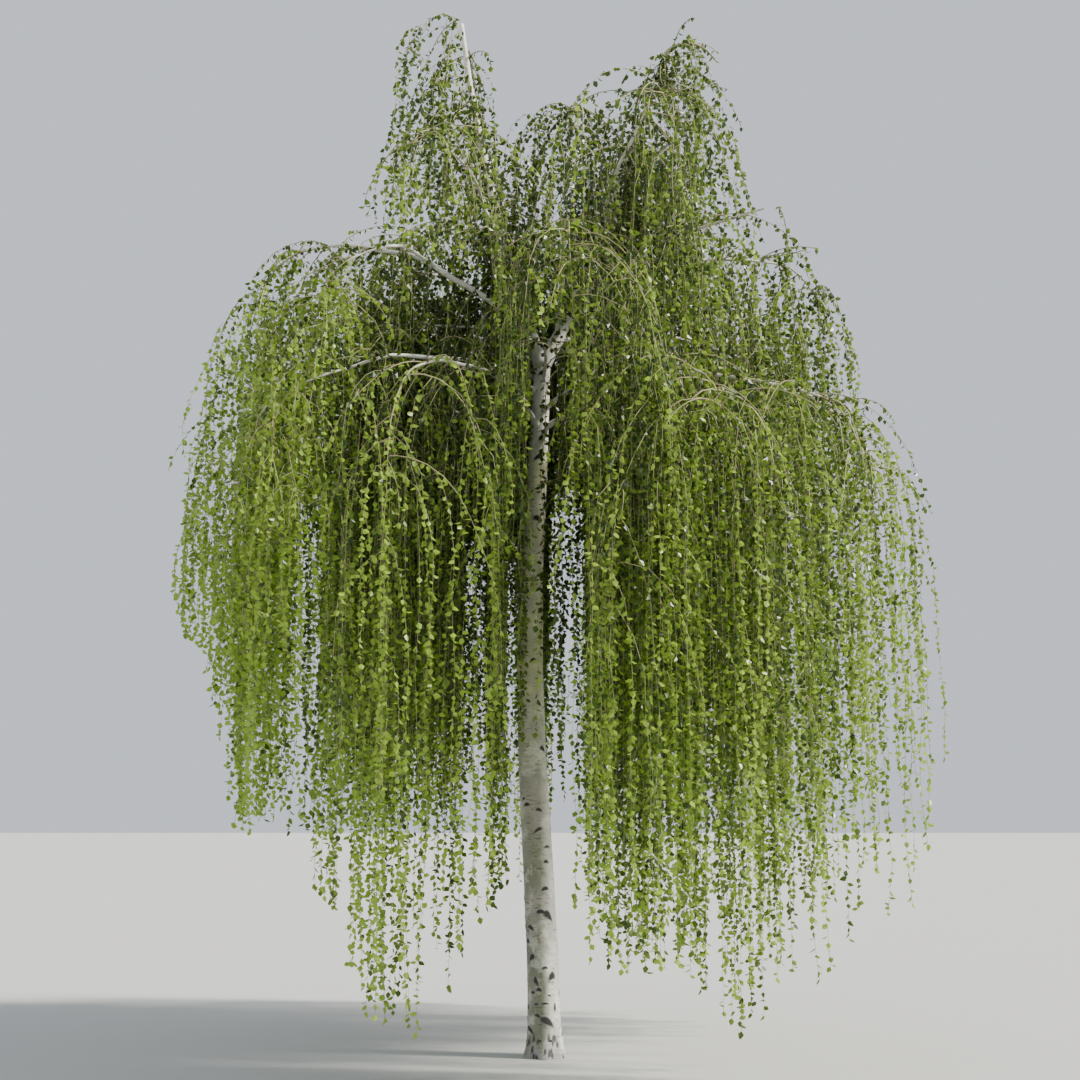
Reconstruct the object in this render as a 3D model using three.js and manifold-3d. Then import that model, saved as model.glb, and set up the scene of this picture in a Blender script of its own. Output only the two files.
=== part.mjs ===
// A weeping silver birch about six and a half metres tall, rooted in the ground. It is an assembly of
// separate solids: the trunk, two leaders, the boughs, and on the tip of each leader and bough one mass of
// foliage, which is twigs with leaves fused on. Each mass keeps to its own space. Millimetres, +Z up, +X to
// the right and +Y to the back. The origin is the middle of the flat cut at the ground.

import * as THREE from "three";
import { ConvexGeometry } from "three/addons/geometries/ConvexGeometry.js";
import { mergeVertices } from "three/addons/utils/BufferGeometryUtils.js";
import Module from "manifold-3d";

const wasm = await Module();
wasm.setup();

// Trunk: nearly upright, bowed a little to the left, with a flared foot, up to the fork
const FORK_HEIGHT = 4140;
const BOW_LEFT = 85;
const BOW_SPAN = 4700;
const SWAY_BACK = 30;
const TRUNK_FOOT_RADIUS = 94;
const TRUNK_FORK_RADIUS = 50;
const TAPER_POWER = 1.7;
const FLARE = 24;
const FLARE_HEIGHT = 110;
const BUTTRESSES = 5;
const BUTTRESS_SWELL = 0.14;
const TRUNK_SIDES = 14;
const TRUNK_STEPS = 14;
const TRUNK_STEP_GROWTH = 1.5; // above 1, rings lie closer together in the flare

// Limbs
const LIMB_TIP_SHARE = 0.5; // radius at the tip, over radius at the foot
const LIMB_SIDES = 6;
const LIMB_STEPS = 4;
const GAP = 0.3; // between solids that meet

// Twigs
const SIDE_TWIGS = 5; // that leave the stem of each mass
const STEM_RADIUS_SHARE = 1.3; // of the limb's tip, because the stem is three-sided
const TWIG_RADIUS = 5.5;
const TWIG_TIP_SHARE = 0.5;
const BRANCHING = 1.3; // length of stem that side twigs leave, in bend lengths
const BRANCHING_STEPS = 3;
const SIDE_ANGLE = [25, 160]; // least and most, in degrees, between a side twig and the stem
const SIDE_RISE = [-10, 35]; // degrees above the level where a side twig starts
const SIDE_BEND = [0.4, 1]; // of the stem's bend length
const SIDE_LENGTH = [0.7, 1.1]; // of the way down to the mass's lowest end
const TWIG_MOVES = 60; // short straight moves that add up to a twig's line
const SHORTEST_TWIG = 200;
const SHORTENING = 0.85; // what is left of a twig or a leaf at each try to make it fit

// Leaves: each stands for a spray of real ones, so it is larger than life
const LEAF_LENGTH = 340;
const LEAF_LENGTH_SHARE = [0.75, 1.1];
const LEAF_DROOP = [25, 60]; // degrees between a leaf and the way straight down its twig's side
const SHORTEST_LEAF = 130;
const LEAVES_IN_SPRAY = 3;
const LEAF_RING_PITCH = 75; // a leaf's foot is twice this long
const MOST_FOOT = 0.8; // of a twig's length that the feet of its leaves may take up
const FIRST_SPRAYS = 0.65; // sprays on a twig, before one for each spray pitch of its length
const SPRAY_PITCH = 1000;
const SPRAY_SHIFT = [0.4, 0.6]; // where a spray lies on its own stretch of twig
const SPRAY_TURN = 50; // degrees about the twig from one spray to the next
const STEEPEST_SIDE = 0.4; // how far up the side of a twig may face that still bears a leaf
const FOOT_SHARE = 0.08; // part of a leaf, at its foot, that may lie against other leaves

// Room
const CLEARANCE = 2; // between a mass and the limbs
const SPACE_MARGIN = 5; // between a mass and the wall of its space
const LEAF_MARGIN = 1; // between leaves, and between leaves and twigs
const HEIGHT_WEIGHT = 0.5; // how much height counts where the masses share out the room
const FIRST_SEED = 1001;
const SEED_STEP = 37;

const BARK_COLOUR = 0xd9d6cc;
const LEAF_COLOURS = [0x5c8a26, 0x6a9a2e, 0x4d7a22, 0x7aa63a];

// The limbs: a name, the limb that it leaves, and the share of that limb's length at which it does; its
// tip, to the right of the foot, behind it and above it; its arch over the straight line between its ends;
// and its radius at its foot. Then, for the mass on its tip, the bend length of the stem and the height of
// its lowest end
const LIMB_ROWS = [
  ["leader_left", "trunk", 1, [-530, 0, 6400], -200, 42, 240, 4900],
  ["leader_right", "trunk", 1, [770, 0, 6190], -100, 41, 300, 4700],
  ["dome_left", "leader_right", 0.42, [250, 50, 5830], 20, 13, 300, 4300],
  ["dome_right", "leader_right", 0.5, [1050, -100, 5800], 60, 16, 220, 3900],
  ["dome_back", "leader_right", 0.55, [750, 950, 5500], 60, 15, 350, 3900],
  ["dome_front", "leader_right", 0.45, [620, -900, 5500], 60, 14, 350, 3700],
  ["spire_front", "leader_left", 0.4, [-600, -850, 5300], 70, 14, 350, 3500],
  ["spire_back", "leader_left", 0.4, [-800, 900, 5350], 80, 15, 350, 3800],
  ["left_high", "leader_left", 0.14, [-1480, -120, 4850], 200, 23, 330, 2400],
  ["left_mid", "left_high", 0.42, [-1150, -780, 4560], 110, 14, 400, 2200],
  ["left_back_high", "leader_left", 0.2, [-1400, 950, 4700], 120, 17, 350, 3000],
  ["right_high", "leader_right", 0.25, [1500, 150, 4850], 100, 19, 320, 3000],
  ["right_front_high", "leader_right", 0.18, [1250, -1000, 4800], 120, 17, 350, 2700],
  ["right_back_high", "leader_right", 0.3, [1300, 1100, 4800], 110, 17, 350, 2700],
  ["back_high", "leader_right", 0.12, [0, 1350, 4800], 120, 16, 350, 2700],
  ["front_high", "leader_right", 0.1, [120, -1250, 4650], 120, 16, 350, 800],
  ["left_reach", "leader_left", 0.07, [-1700, 600, 3950], 230, 19, 350, 1700],
  ["left_front", "trunk", 0.955, [-1350, -950, 3800], 200, 18, 300, 1300],
  ["left_back", "trunk", 0.98, [-1250, 1450, 3900], 170, 18, 330, 1300],
  ["back", "trunk", 0.96, [250, 1850, 3900], 160, 18, 400, 1000],
  ["right_back", "leader_right", 0.06, [1600, 1150, 3900], 220, 18, 350, 900],
  ["right_reach", "leader_right", 0.09, [1880, 200, 3850], 240, 19, 350, 1500],
  ["right_front", "trunk", 0.9, [1550, -1000, 3700], 230, 18, 300, 800],
  ["front_right", "trunk", 0.925, [820, -1550, 3700], 190, 16, 320, 500],
  ["front_left", "trunk", 0.9, [-680, -1650, 3700], 180, 17, 300, 280],
  ["inner_left", "leader_left", 0.1, [-780, -150, 4350], 60, 12, 380, 1500],
  ["inner_back", "trunk", 0.985, [50, 700, 4350], 60, 12, 380, 1500],
  ["inner_right", "leader_right", 0.07, [850, 100, 4300], 60, 12, 380, 1500],
  ["inner_front", "trunk", 0.97, [50, -620, 4150], 60, 12, 380, 1600],
];

const UP = new THREE.Vector3(0, 0, 1);
const radians = THREE.MathUtils.degToRad;
const degrees = THREE.MathUtils.radToDeg;
const mix = THREE.MathUtils.lerp;

// A repeatable stream of chance numbers: each is the last one times a fixed factor, modulo a prime
function dice(seed) {
  const FACTOR = 16807;
  const PRIME = 2147483647;
  let state = seed;
  return (low, high) => {
    state = (state * FACTOR) % PRIME;
    return mix(low, high, state / PRIME);
  };
}

// The level direction at an angle, where 0 is to the right and 90 to the back
function heading(angle) {
  return new THREE.Vector3(Math.cos(radians(angle)), Math.sin(radians(angle)), 0);
}

// The trunk's centreline: a bow to the left and a sway to the back, both none at the ground
class TrunkCurve extends THREE.Curve {
  getPoint(t, target = new THREE.Vector3()) {
    const z = t * FORK_HEIGHT;
    const bow = Math.sin((Math.PI * z) / BOW_SPAN) ** 2;
    const sway = Math.sin((2 * Math.PI * z) / BOW_SPAN);
    return target.set(-BOW_LEFT * bow, SWAY_BACK * sway, z);
  }
}

// How much of the flare is left at a share of the trunk's height
function flareAt(t) {
  return Math.exp((-t * FORK_HEIGHT) / FLARE_HEIGHT);
}

function trunkRadius(t) {
  return mix(TRUNK_FOOT_RADIUS, TRUNK_FORK_RADIUS, t ** TAPER_POWER) + FLARE * flareAt(t);
}

// The lines of all limbs, by name: a curve, and a radius at each share of its length
function planLimbs() {
  const limbs = new Map([["trunk", { curve: new TrunkCurve(), radiusAt: trunkRadius }]]);
  for (const [name, from, at, place, arch, radius, bend, hang] of LIMB_ROWS) {
    const root = limbs.get(from).curve.getPoint(at);
    const tip = new THREE.Vector3(...place);
    const middle = root.clone().lerp(tip, 0.5).addScaledVector(UP, 2 * arch);
    const curve = new THREE.QuadraticBezierCurve3(root, middle, tip);
    const radiusAt = (t) => radius * mix(1, LIMB_TIP_SHARE, t);
    limbs.set(name, { name, curve, radiusAt, bend, hang });
  }
  return limbs;
}

// A closed geometry as a solid, with its doubled vertices merged
function solidOf(geometry) {
  geometry.deleteAttribute("normal");
  geometry.deleteAttribute("uv");
  const merged = mergeVertices(geometry, 1e-4);
  const vertProperties = new Float32Array(merged.attributes.position.array);
  const triVerts = new Uint32Array(merged.index.array);
  return new wasm.Manifold(new wasm.Mesh({ numProp: 3, vertProperties, triVerts }));
}

function geometryOf(solid) {
  const mesh = solid.getMesh();
  return new THREE.BufferGeometry()
    .setAttribute("position", new THREE.BufferAttribute(new Float32Array(mesh.vertProperties), 3))
    .setIndex(new THREE.BufferAttribute(new Uint32Array(mesh.triVerts), 1));
}

function corners(solid) {
  const { vertProperties, numProp } = solid.getMesh();
  const count = vertProperties.length / numProp;
  const corner = (_, i) => new THREE.Vector3().fromArray(vertProperties, i * numProp);
  return Array.from({ length: count }, corner);
}

// The largest of a solid's separate bodies
function mainBody(solid) {
  return solid.decompose().reduce((largest, body) => (body.volume() > largest.volume() ? body : largest));
}

// Whether two solids' boxes come within a distance of each other
function near(a, b, distance) {
  const p = a.boundingBox();
  const q = b.boundingBox();
  return [0, 1, 2].every((k) => p.min[k] - distance < q.max[k] && q.min[k] - distance < p.max[k]);
}

function touches(a, b, distance) {
  return near(a, b, distance) && a.minGap(b, distance) < distance;
}

// A tube, from a unit cylinder or cone along Y whose rings are moved to their places. ringAt(k) gives the
// middle of ring k, two directions across it, and its radius at an angle round it. It may also pull corners
// of the ring out
function tube(geometry, ringAt) {
  const { radialSegments, heightSegments } = geometry.parameters;
  const position = geometry.attributes.position;
  for (let i = 0; i < position.count; i++) {
    const [x, y, z] = [position.getX(i), position.getY(i), position.getZ(i)];
    const ring = ringAt(Math.round((y + 0.5) * heightSegments));
    const point = ring.middle.clone();
    if (x || z) {
      const angle = Math.atan2(x, z);
      const r = ring.radiusAt(angle);
      const corner = Math.round(radialSegments * (1 + angle / (2 * Math.PI))) % radialSegments;
      point.addScaledVector(ring.across, x * r).addScaledVector(ring.over, z * r);
      if (ring.pulls?.[corner]) point.add(ring.pulls[corner]);
    }
    position.setXYZ(i, point.x, point.y, point.z);
  }
  return solidOf(geometry);
}

// The trunk, flat at the ground and at the fork, with its sides and its top moved out by extra
function trunkSolid(trunk, extra) {
  return tube(new THREE.CylinderGeometry(1, 1, 1, TRUNK_SIDES, TRUNK_STEPS), (k) => {
    const t = (k / TRUNK_STEPS) ** TRUNK_STEP_GROWTH;
    const middle = trunk.curve.getPoint(t);
    if (k === TRUNK_STEPS) middle.z += extra;
    const buttress = (angle) => 1 + BUTTRESS_SWELL * Math.cos(BUTTRESSES * angle) * flareAt(t);
    const radiusAt = (angle) => trunk.radiusAt(t) * buttress(angle) + extra;
    return { middle, across: new THREE.Vector3(1, 0, 0), over: new THREE.Vector3(0, -1, 0), radiusAt };
  });
}

// A limb, with its sides and its far end moved out by extra
function limbSolid(limb, extra) {
  const chord = limb.curve.getPoint(1).sub(limb.curve.getPoint(0));
  const across = chord.clone().cross(UP).normalize();
  return tube(new THREE.CylinderGeometry(1, 1, 1, LIMB_SIDES, LIMB_STEPS), (k) => {
    const t = k / LIMB_STEPS;
    const tangent = limb.curve.getTangent(t);
    const middle = limb.curve.getPoint(t);
    if (k === LIMB_STEPS) middle.addScaledVector(tangent, extra);
    const over = across.clone().cross(tangent);
    return { middle, across, over, radiusAt: () => limb.radiusAt(t) + extra };
  });
}

// The solid of every limb, each cut clear of those made before it
function makeLimbs(limbs) {
  const solids = new Map();
  const grown = [];
  for (const [name, limb] of limbs) {
    const make = name === "trunk" ? trunkSolid : limbSolid;
    const inTheWay = grown.filter((other) => near(make(limb, 0), other, 0));
    solids.set(name, mainBody(inTheWay.reduce((solid, other) => solid.subtract(other), make(limb, 0))));
    grown.push(make(limb, GAP));
  }
  return solids;
}

// The line of a weeping twig. It leaves at a slope and bends down, by the same share over each bend length,
// until it hangs straight
class WeepingCurve extends THREE.Curve {
  constructor(root, angle, slope, bend, length) {
    super();
    Object.assign(this, { angle, slope, bend, length });
    this.marks = [root.clone()];
    for (let i = 0; i < TWIG_MOVES; i++) {
      const tangent = this.getTangent((i + 0.5) / TWIG_MOVES);
      this.marks.push(this.marks[i].clone().addScaledVector(tangent, length / TWIG_MOVES));
    }
  }

  getPoint(t, target = new THREE.Vector3()) {
    const i = Math.min(Math.floor(t * TWIG_MOVES), TWIG_MOVES - 1);
    return target.lerpVectors(this.marks[i], this.marks[i + 1], t * TWIG_MOVES - i);
  }

  getTangent(t, target = new THREE.Vector3()) {
    const lean = radians(-90 + (this.slope + 90) * Math.exp((-t * this.length) / this.bend));
    target.copy(heading(this.angle)).multiplyScalar(Math.cos(lean));
    return target.addScaledVector(UP, Math.sin(lean));
  }
}

// A three-sided ring round a twig at a share of its length, turned about the twig from where its first
// corner lies on top
function twigRing(curve, radius, t, turn) {
  const tangent = curve.getTangent(t);
  const across = heading(curve.angle + 90).applyAxisAngle(tangent, radians(turn));
  return {
    middle: curve.getPoint(t),
    across,
    over: across.clone().cross(tangent),
    radiusAt: () => radius * mix(1, TWIG_TIP_SHARE, t),
    pulls: {},
  };
}

function cornerOf(ring, k) {
  const angle = (k * 2 * Math.PI) / 3;
  return ring.middle
    .clone()
    .addScaledVector(ring.across, ring.radiusAt() * Math.sin(angle))
    .addScaledVector(ring.over, ring.radiusAt() * Math.cos(angle));
}

// A twig without its leaves: a stretch that only branches, then rings in groups, one group to a spray. Each
// ring inside a group has a bud, on the corner that comes before the last one's
function bareTwig(curve, radius, branching, shift, turn) {
  const leafy = curve.length - branching;
  const sprays = Math.round(FIRST_SPRAYS + leafy / SPRAY_PITCH);
  const groupRings = LEAVES_IN_SPRAY + 2;
  const pitch = Math.min(LEAF_RING_PITCH, (MOST_FOOT * leafy) / (sprays * groupRings));
  const rings = [];
  const buds = [];
  const addRing = (place, spray) =>
    rings.push(twigRing(curve, radius, place / curve.length, turn + spray * SPRAY_TURN));

  addRing(0, 0);
  for (let k = 1; branching && k < BRANCHING_STEPS; k++) addRing((branching * k) / BRANCHING_STEPS, 0);
  for (let spray = 0; spray < sprays; spray++) {
    const middle = branching + ((spray + shift) / sprays) * leafy;
    for (let k = 0; k < groupRings; k++) {
      if (k > 0 && k <= LEAVES_IN_SPRAY) buds.push({ ring: rings.length, corner: LEAVES_IN_SPRAY - k });
      addRing(middle + (k - (groupRings - 1) / 2) * pitch, spray);
    }
  }
  addRing(curve.length, sprays);
  return { curve, rings, buds };
}

function twigSolid({ rings }) {
  return tube(new THREE.ConeGeometry(1, 1, 3, rings.length - 1), (k) => rings[k]);
}

// Whether a solid's skin passes through itself: an edge crosses a face that has none of the edge's ends
function crossesItself(solid) {
  const points = corners(solid);
  const boxed = (ends) => ({ ends, box: new THREE.Box3().setFromPoints(ends.map((k) => points[k])) });
  const { triVerts } = solid.getMesh();
  const face = (_, i) => boxed([...triVerts.slice(3 * i, 3 * i + 3)]);
  const faces = Array.from({ length: triVerts.length / 3 }, face);
  const sides = faces.flatMap(({ ends: [a, b, c] }) => [[a, b], [b, c], [c, a]]);
  const edges = sides.filter(([a, b]) => a < b).map(boxed);
  const ray = new THREE.Ray();
  const hit = new THREE.Vector3();
  const crosses = (edge, { ends, box }) => {
    if (!edge.box.intersectsBox(box) || edge.ends.some((end) => ends.includes(end))) return false;
    const [from, to] = edge.ends.map((k) => points[k]);
    ray.set(from, to.clone().sub(from).normalize());
    const met = ray.intersectTriangle(...ends.map((k) => points[k]), false, hit);
    return met && hit.distanceTo(from) < from.distanceTo(to);
  };
  return edges.some((edge) => faces.some((other) => crosses(edge, other)));
}

// The longest twig that fits, of the length asked for or shorter, or none
function growTwig(make, length, fits) {
  for (let reach = length; reach > SHORTEST_TWIG; reach *= SHORTENING) {
    const twig = make(reach);
    twig.solid = twigSolid(twig);
    if (fits(twig.solid)) return twig;
  }
  return null;
}

// Leaves along a twig. Each bud's corner is pulled out into the tip of a hanging blade, whose foot runs
// along the twig from the ring before to the ring after. A blade is made shorter until it fits, or left out
function addLeaves(twig, roll, fits) {
  const blades = [];
  for (const bud of twig.buds) {
    const ring = twig.rings[bud.ring];
    const droop = radians(roll(...LEAF_DROOP));
    const length = LEAF_LENGTH * roll(...LEAF_LENGTH_SHARE);
    const outwards = cornerOf(ring, bud.corner).sub(ring.middle).normalize();
    if (outwards.z > STEEPEST_SIDE) continue;
    const down = outwards.clone().multiplyScalar(outwards.z).sub(UP).normalize();
    const direction = outwards.multiplyScalar(Math.sin(droop)).addScaledVector(down, Math.cos(droop));
    const foot = [
      cornerOf(twig.rings[bud.ring - 1], bud.corner),
      cornerOf(twig.rings[bud.ring + 1], bud.corner),
      cornerOf(ring, (bud.corner + 1) % 3),
      cornerOf(ring, (bud.corner + 2) % 3),
    ];
    for (let reach = length; reach > SHORTEST_LEAF; reach *= SHORTENING) {
      const pull = direction.clone().multiplyScalar(reach);
      const tip = cornerOf(ring, bud.corner).add(pull);
      const shortFoot = foot.map((point) => point.clone().lerp(tip, FOOT_SHARE));
      const blade = solidOf(new ConvexGeometry([tip, ...shortFoot]));
      if (!fits(blade, blades)) continue;
      ring.pulls[bud.corner] = pull;
      if (crossesItself(twigSolid(twig))) {
        delete ring.pulls[bud.corner];
        continue;
      }
      blades.push(blade);
      break;
    }
  }
  return blades;
}

// A mass's own space: the points that lie nearer to its limb's tip than to any other tip, where heights
// count less. It has flat walls and no hollows, so a piece is inside when all its corners are
function ownSpace(tip, otherTips) {
  const walls = otherTips.map((other) => {
    const normal = other.clone().sub(tip);
    normal.z *= HEIGHT_WEIGHT ** 2;
    return { normal: normal.normalize(), middle: tip.clone().lerp(other, 0.5) };
  });
  const depth = (point, { normal, middle }) => middle.clone().sub(point).dot(normal);
  return (point) => walls.every((wall) => depth(point, wall) > SPACE_MARGIN);
}

// A mass: a stem that carries on from the limb's tip and weeps, side twigs that leave it to either side by
// turns, and leaves along them all. Twigs and leaves that would leave its space or touch a limb are skipped
function makeMass(limb, limbSolids, inside, roll) {
  const tangent = limb.curve.getTangent(1);
  const foot = limb.curve.getPoint(1).addScaledVector(tangent, GAP);
  const facing = degrees(Math.atan2(tangent.y, tangent.x));
  const slope = degrees(Math.asin(tangent.z));
  const ownLimb = limbSolids.get(limb.name);
  const otherLimbs = [...limbSolids.values()].filter((solid) => solid !== ownLimb);
  const stemFits = (solid) =>
    corners(solid).every(inside) && !otherLimbs.some((other) => touches(solid, other, CLEARANCE));
  const fits = (solid) => stemFits(solid) && !touches(solid, ownLimb, CLEARANCE);

  const [stemShift, stemTurn] = [roll(...SPRAY_SHIFT), roll(0, 360)];
  const makeStem = (length) => {
    const curve = new WeepingCurve(foot, facing, slope, limb.bend, length);
    const branching = Math.min(BRANCHING * limb.bend, length / 2);
    return bareTwig(curve, limb.radiusAt(1) * STEM_RADIUS_SHARE, branching, stemShift, stemTurn);
  };
  const stem = growTwig(makeStem, foot.z - limb.hang, stemFits);
  if (!stem) throw new Error(`the mass on ${limb.name} has no room for its stem`);

  const makeSideTwig = (k) => {
    const place = ((k + 0.5) / SIDE_TWIGS) * BRANCHING_STEPS;
    const [before, after] = stem.rings.slice(Math.floor(place));
    const root = before.middle.clone().lerp(after.middle, place % 1);
    const angle = facing + (k % 2 ? 1 : -1) * roll(...SIDE_ANGLE);
    const [rise, bend] = [roll(...SIDE_RISE), limb.bend * roll(...SIDE_BEND)];
    const length = (root.z - limb.hang) * roll(...SIDE_LENGTH);
    const [shift, turn] = [roll(...SPRAY_SHIFT), roll(0, 360)];
    const make = (reach) => {
      const curve = new WeepingCurve(root, angle, rise, bend, reach);
      return bareTwig(curve, TWIG_RADIUS, 0, shift, turn);
    };
    return growTwig(make, length, fits);
  };
  const sideTwigs = Array.from({ length: SIDE_TWIGS }, (_, k) => makeSideTwig(k));
  const twigs = [stem, ...sideTwigs].filter((twig) => twig);

  const leaves = [];
  for (const twig of twigs) {
    const rest = [...leaves, ...twigs.filter((other) => other !== twig).map((other) => other.solid)];
    const leafFits = (blade, blades) =>
      fits(blade) && ![...rest, ...blades].some((other) => touches(blade, other, LEAF_MARGIN));
    leaves.push(...addLeaves(twig, roll, leafFits));
  }
  return mainBody(wasm.Manifold.union(twigs.map(twigSolid)));
}

function meshOf(name, solid, colour, roughness) {
  const material = new THREE.MeshStandardMaterial({ color: colour, roughness });
  const mesh = new THREE.Mesh(geometryOf(solid), material);
  mesh.name = name;
  return mesh;
}

function makeTree() {
  const tree = new THREE.Group();
  const limbs = planLimbs();
  const limbSolids = makeLimbs(limbs);
  for (const [name, solid] of limbSolids) {
    const isBough = name !== "trunk" && !name.startsWith("leader");
    tree.add(meshOf(isBough ? `bough_${name}` : name, solid, BARK_COLOUR, 0.7));
  }
  const bearing = [...limbs.values()].filter((limb) => limb.name);
  bearing.forEach((limb, k) => {
    const otherTips = bearing.filter((other) => other !== limb).map((other) => other.curve.getPoint(1));
    const inside = ownSpace(limb.curve.getPoint(1), otherTips);
    const mass = makeMass(limb, limbSolids, inside, dice(FIRST_SEED + SEED_STEP * k));
    tree.add(meshOf(`foliage_${limb.name}`, mass, LEAF_COLOURS[k % LEAF_COLOURS.length], 0.6));
  });
  return tree;
}

export default makeTree();
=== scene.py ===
# A weeping silver birch in full leaf, dressed over its fixed frame. The trunk, its two leaders and the
# boughs get bark with relief. Curtains of hanging twigs and leaves grow on from their tips. Metres, +Z
# up.

import math
from collections import namedtuple
from functools import partial

import bpy
import numpy as np
from bpy.props import FloatProperty, FloatVectorProperty, IntProperty, PointerProperty
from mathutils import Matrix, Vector


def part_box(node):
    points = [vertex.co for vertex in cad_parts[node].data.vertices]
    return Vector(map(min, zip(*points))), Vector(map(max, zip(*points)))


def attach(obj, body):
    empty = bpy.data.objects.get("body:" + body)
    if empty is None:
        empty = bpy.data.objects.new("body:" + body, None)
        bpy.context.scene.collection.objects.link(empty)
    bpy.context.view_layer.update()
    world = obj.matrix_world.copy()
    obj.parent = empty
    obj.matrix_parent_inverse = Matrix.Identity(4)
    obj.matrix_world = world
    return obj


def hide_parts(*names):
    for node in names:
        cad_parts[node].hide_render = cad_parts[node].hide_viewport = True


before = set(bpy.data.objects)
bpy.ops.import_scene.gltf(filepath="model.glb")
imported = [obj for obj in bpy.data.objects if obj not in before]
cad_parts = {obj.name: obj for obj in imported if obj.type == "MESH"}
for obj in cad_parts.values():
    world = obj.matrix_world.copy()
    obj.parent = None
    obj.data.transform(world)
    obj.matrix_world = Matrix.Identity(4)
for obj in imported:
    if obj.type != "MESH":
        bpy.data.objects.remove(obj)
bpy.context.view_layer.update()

bl_info = {
    "name": "Weeping birch",
    "version": (1, 0, 0),
    "blender": (4, 5, 0),
    "location": "3D View > Sidebar > Birch",
    "description": "Bark, hanging twigs and leaves for a weeping silver birch",
    "category": "Add Mesh",
}

TRUNK_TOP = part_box("trunk")[1][2]

# The limbs, as in the solids: a name, the limb that it leaves, and the share of that limb's length at
# which it does; its tip; its arch over the straight line between its ends; and its radius at its foot.
# Then, for the mass of foliage on its tip, the bend length of the stem and the height of its lowest end
LIMB_ROWS = (
    ("leader_left", "trunk", 1.0, (-0.53, 0.0, 6.4), -0.2, 0.042, 0.24, 4.9),
    ("leader_right", "trunk", 1.0, (0.77, 0.0, 6.19), -0.1, 0.041, 0.3, 4.7),
    ("dome_left", "leader_right", 0.42, (0.25, 0.05, 5.83), 0.02, 0.013, 0.3, 4.3),
    ("dome_right", "leader_right", 0.5, (1.05, -0.1, 5.8), 0.06, 0.016, 0.22, 3.9),
    ("dome_back", "leader_right", 0.55, (0.75, 0.95, 5.5), 0.06, 0.015, 0.35, 3.9),
    ("dome_front", "leader_right", 0.45, (0.62, -0.9, 5.5), 0.06, 0.014, 0.35, 3.7),
    ("spire_front", "leader_left", 0.4, (-0.6, -0.85, 5.3), 0.07, 0.014, 0.35, 3.5),
    ("spire_back", "leader_left", 0.4, (-0.8, 0.9, 5.35), 0.08, 0.015, 0.35, 3.8),
    ("left_high", "leader_left", 0.14, (-1.48, -0.12, 4.85), 0.2, 0.023, 0.33, 2.4),
    ("left_mid", "left_high", 0.42, (-1.15, -0.78, 4.56), 0.11, 0.014, 0.4, 2.2),
    ("left_back_high", "leader_left", 0.2, (-1.4, 0.95, 4.7), 0.12, 0.017, 0.35, 3.0),
    ("right_high", "leader_right", 0.25, (1.5, 0.15, 4.85), 0.1, 0.019, 0.32, 3.0),
    ("right_front_high", "leader_right", 0.18, (1.25, -1.0, 4.8), 0.12, 0.017, 0.35, 2.7),
    ("right_back_high", "leader_right", 0.3, (1.3, 1.1, 4.8), 0.11, 0.017, 0.35, 2.7),
    ("back_high", "leader_right", 0.12, (0.0, 1.35, 4.8), 0.12, 0.016, 0.35, 2.7),
    ("front_high", "leader_right", 0.1, (0.12, -1.25, 4.65), 0.12, 0.016, 0.35, 0.8),
    ("left_reach", "leader_left", 0.07, (-1.7, 0.6, 3.95), 0.23, 0.019, 0.35, 1.7),
    ("left_front", "trunk", 0.955, (-1.35, -0.95, 3.8), 0.2, 0.018, 0.3, 1.3),
    ("left_back", "trunk", 0.98, (-1.25, 1.45, 3.9), 0.17, 0.018, 0.33, 1.3),
    ("back", "trunk", 0.96, (0.25, 1.85, 3.9), 0.16, 0.018, 0.4, 1.0),
    ("right_back", "leader_right", 0.06, (1.6, 1.15, 3.9), 0.22, 0.018, 0.35, 0.9),
    ("right_reach", "leader_right", 0.09, (1.88, 0.2, 3.85), 0.24, 0.019, 0.35, 1.5),
    ("right_front", "trunk", 0.9, (1.55, -1.0, 3.7), 0.23, 0.018, 0.3, 0.8),
    ("front_right", "trunk", 0.925, (0.82, -1.55, 3.7), 0.19, 0.016, 0.32, 0.5),
    ("front_left", "trunk", 0.9, (-0.68, -1.65, 3.7), 0.18, 0.017, 0.3, 0.28),
    ("inner_left", "leader_left", 0.1, (-0.78, -0.15, 4.35), 0.06, 0.012, 0.38, 1.5),
    ("inner_back", "trunk", 0.985, (0.05, 0.7, 4.35), 0.06, 0.012, 0.38, 1.5),
    ("inner_right", "leader_right", 0.07, (0.85, 0.1, 4.3), 0.06, 0.012, 0.38, 1.5),
    ("inner_front", "trunk", 0.97, (0.05, -0.62, 4.15), 0.06, 0.012, 0.38, 1.6),
)

# How many times as many twigs as elsewhere some limbs bear for their length
CROWDED_LIMBS = {"leader_left": 5, "leader_right": 5, "left_high": 2}

LEADERS = ("leader_left", "leader_right")

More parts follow.
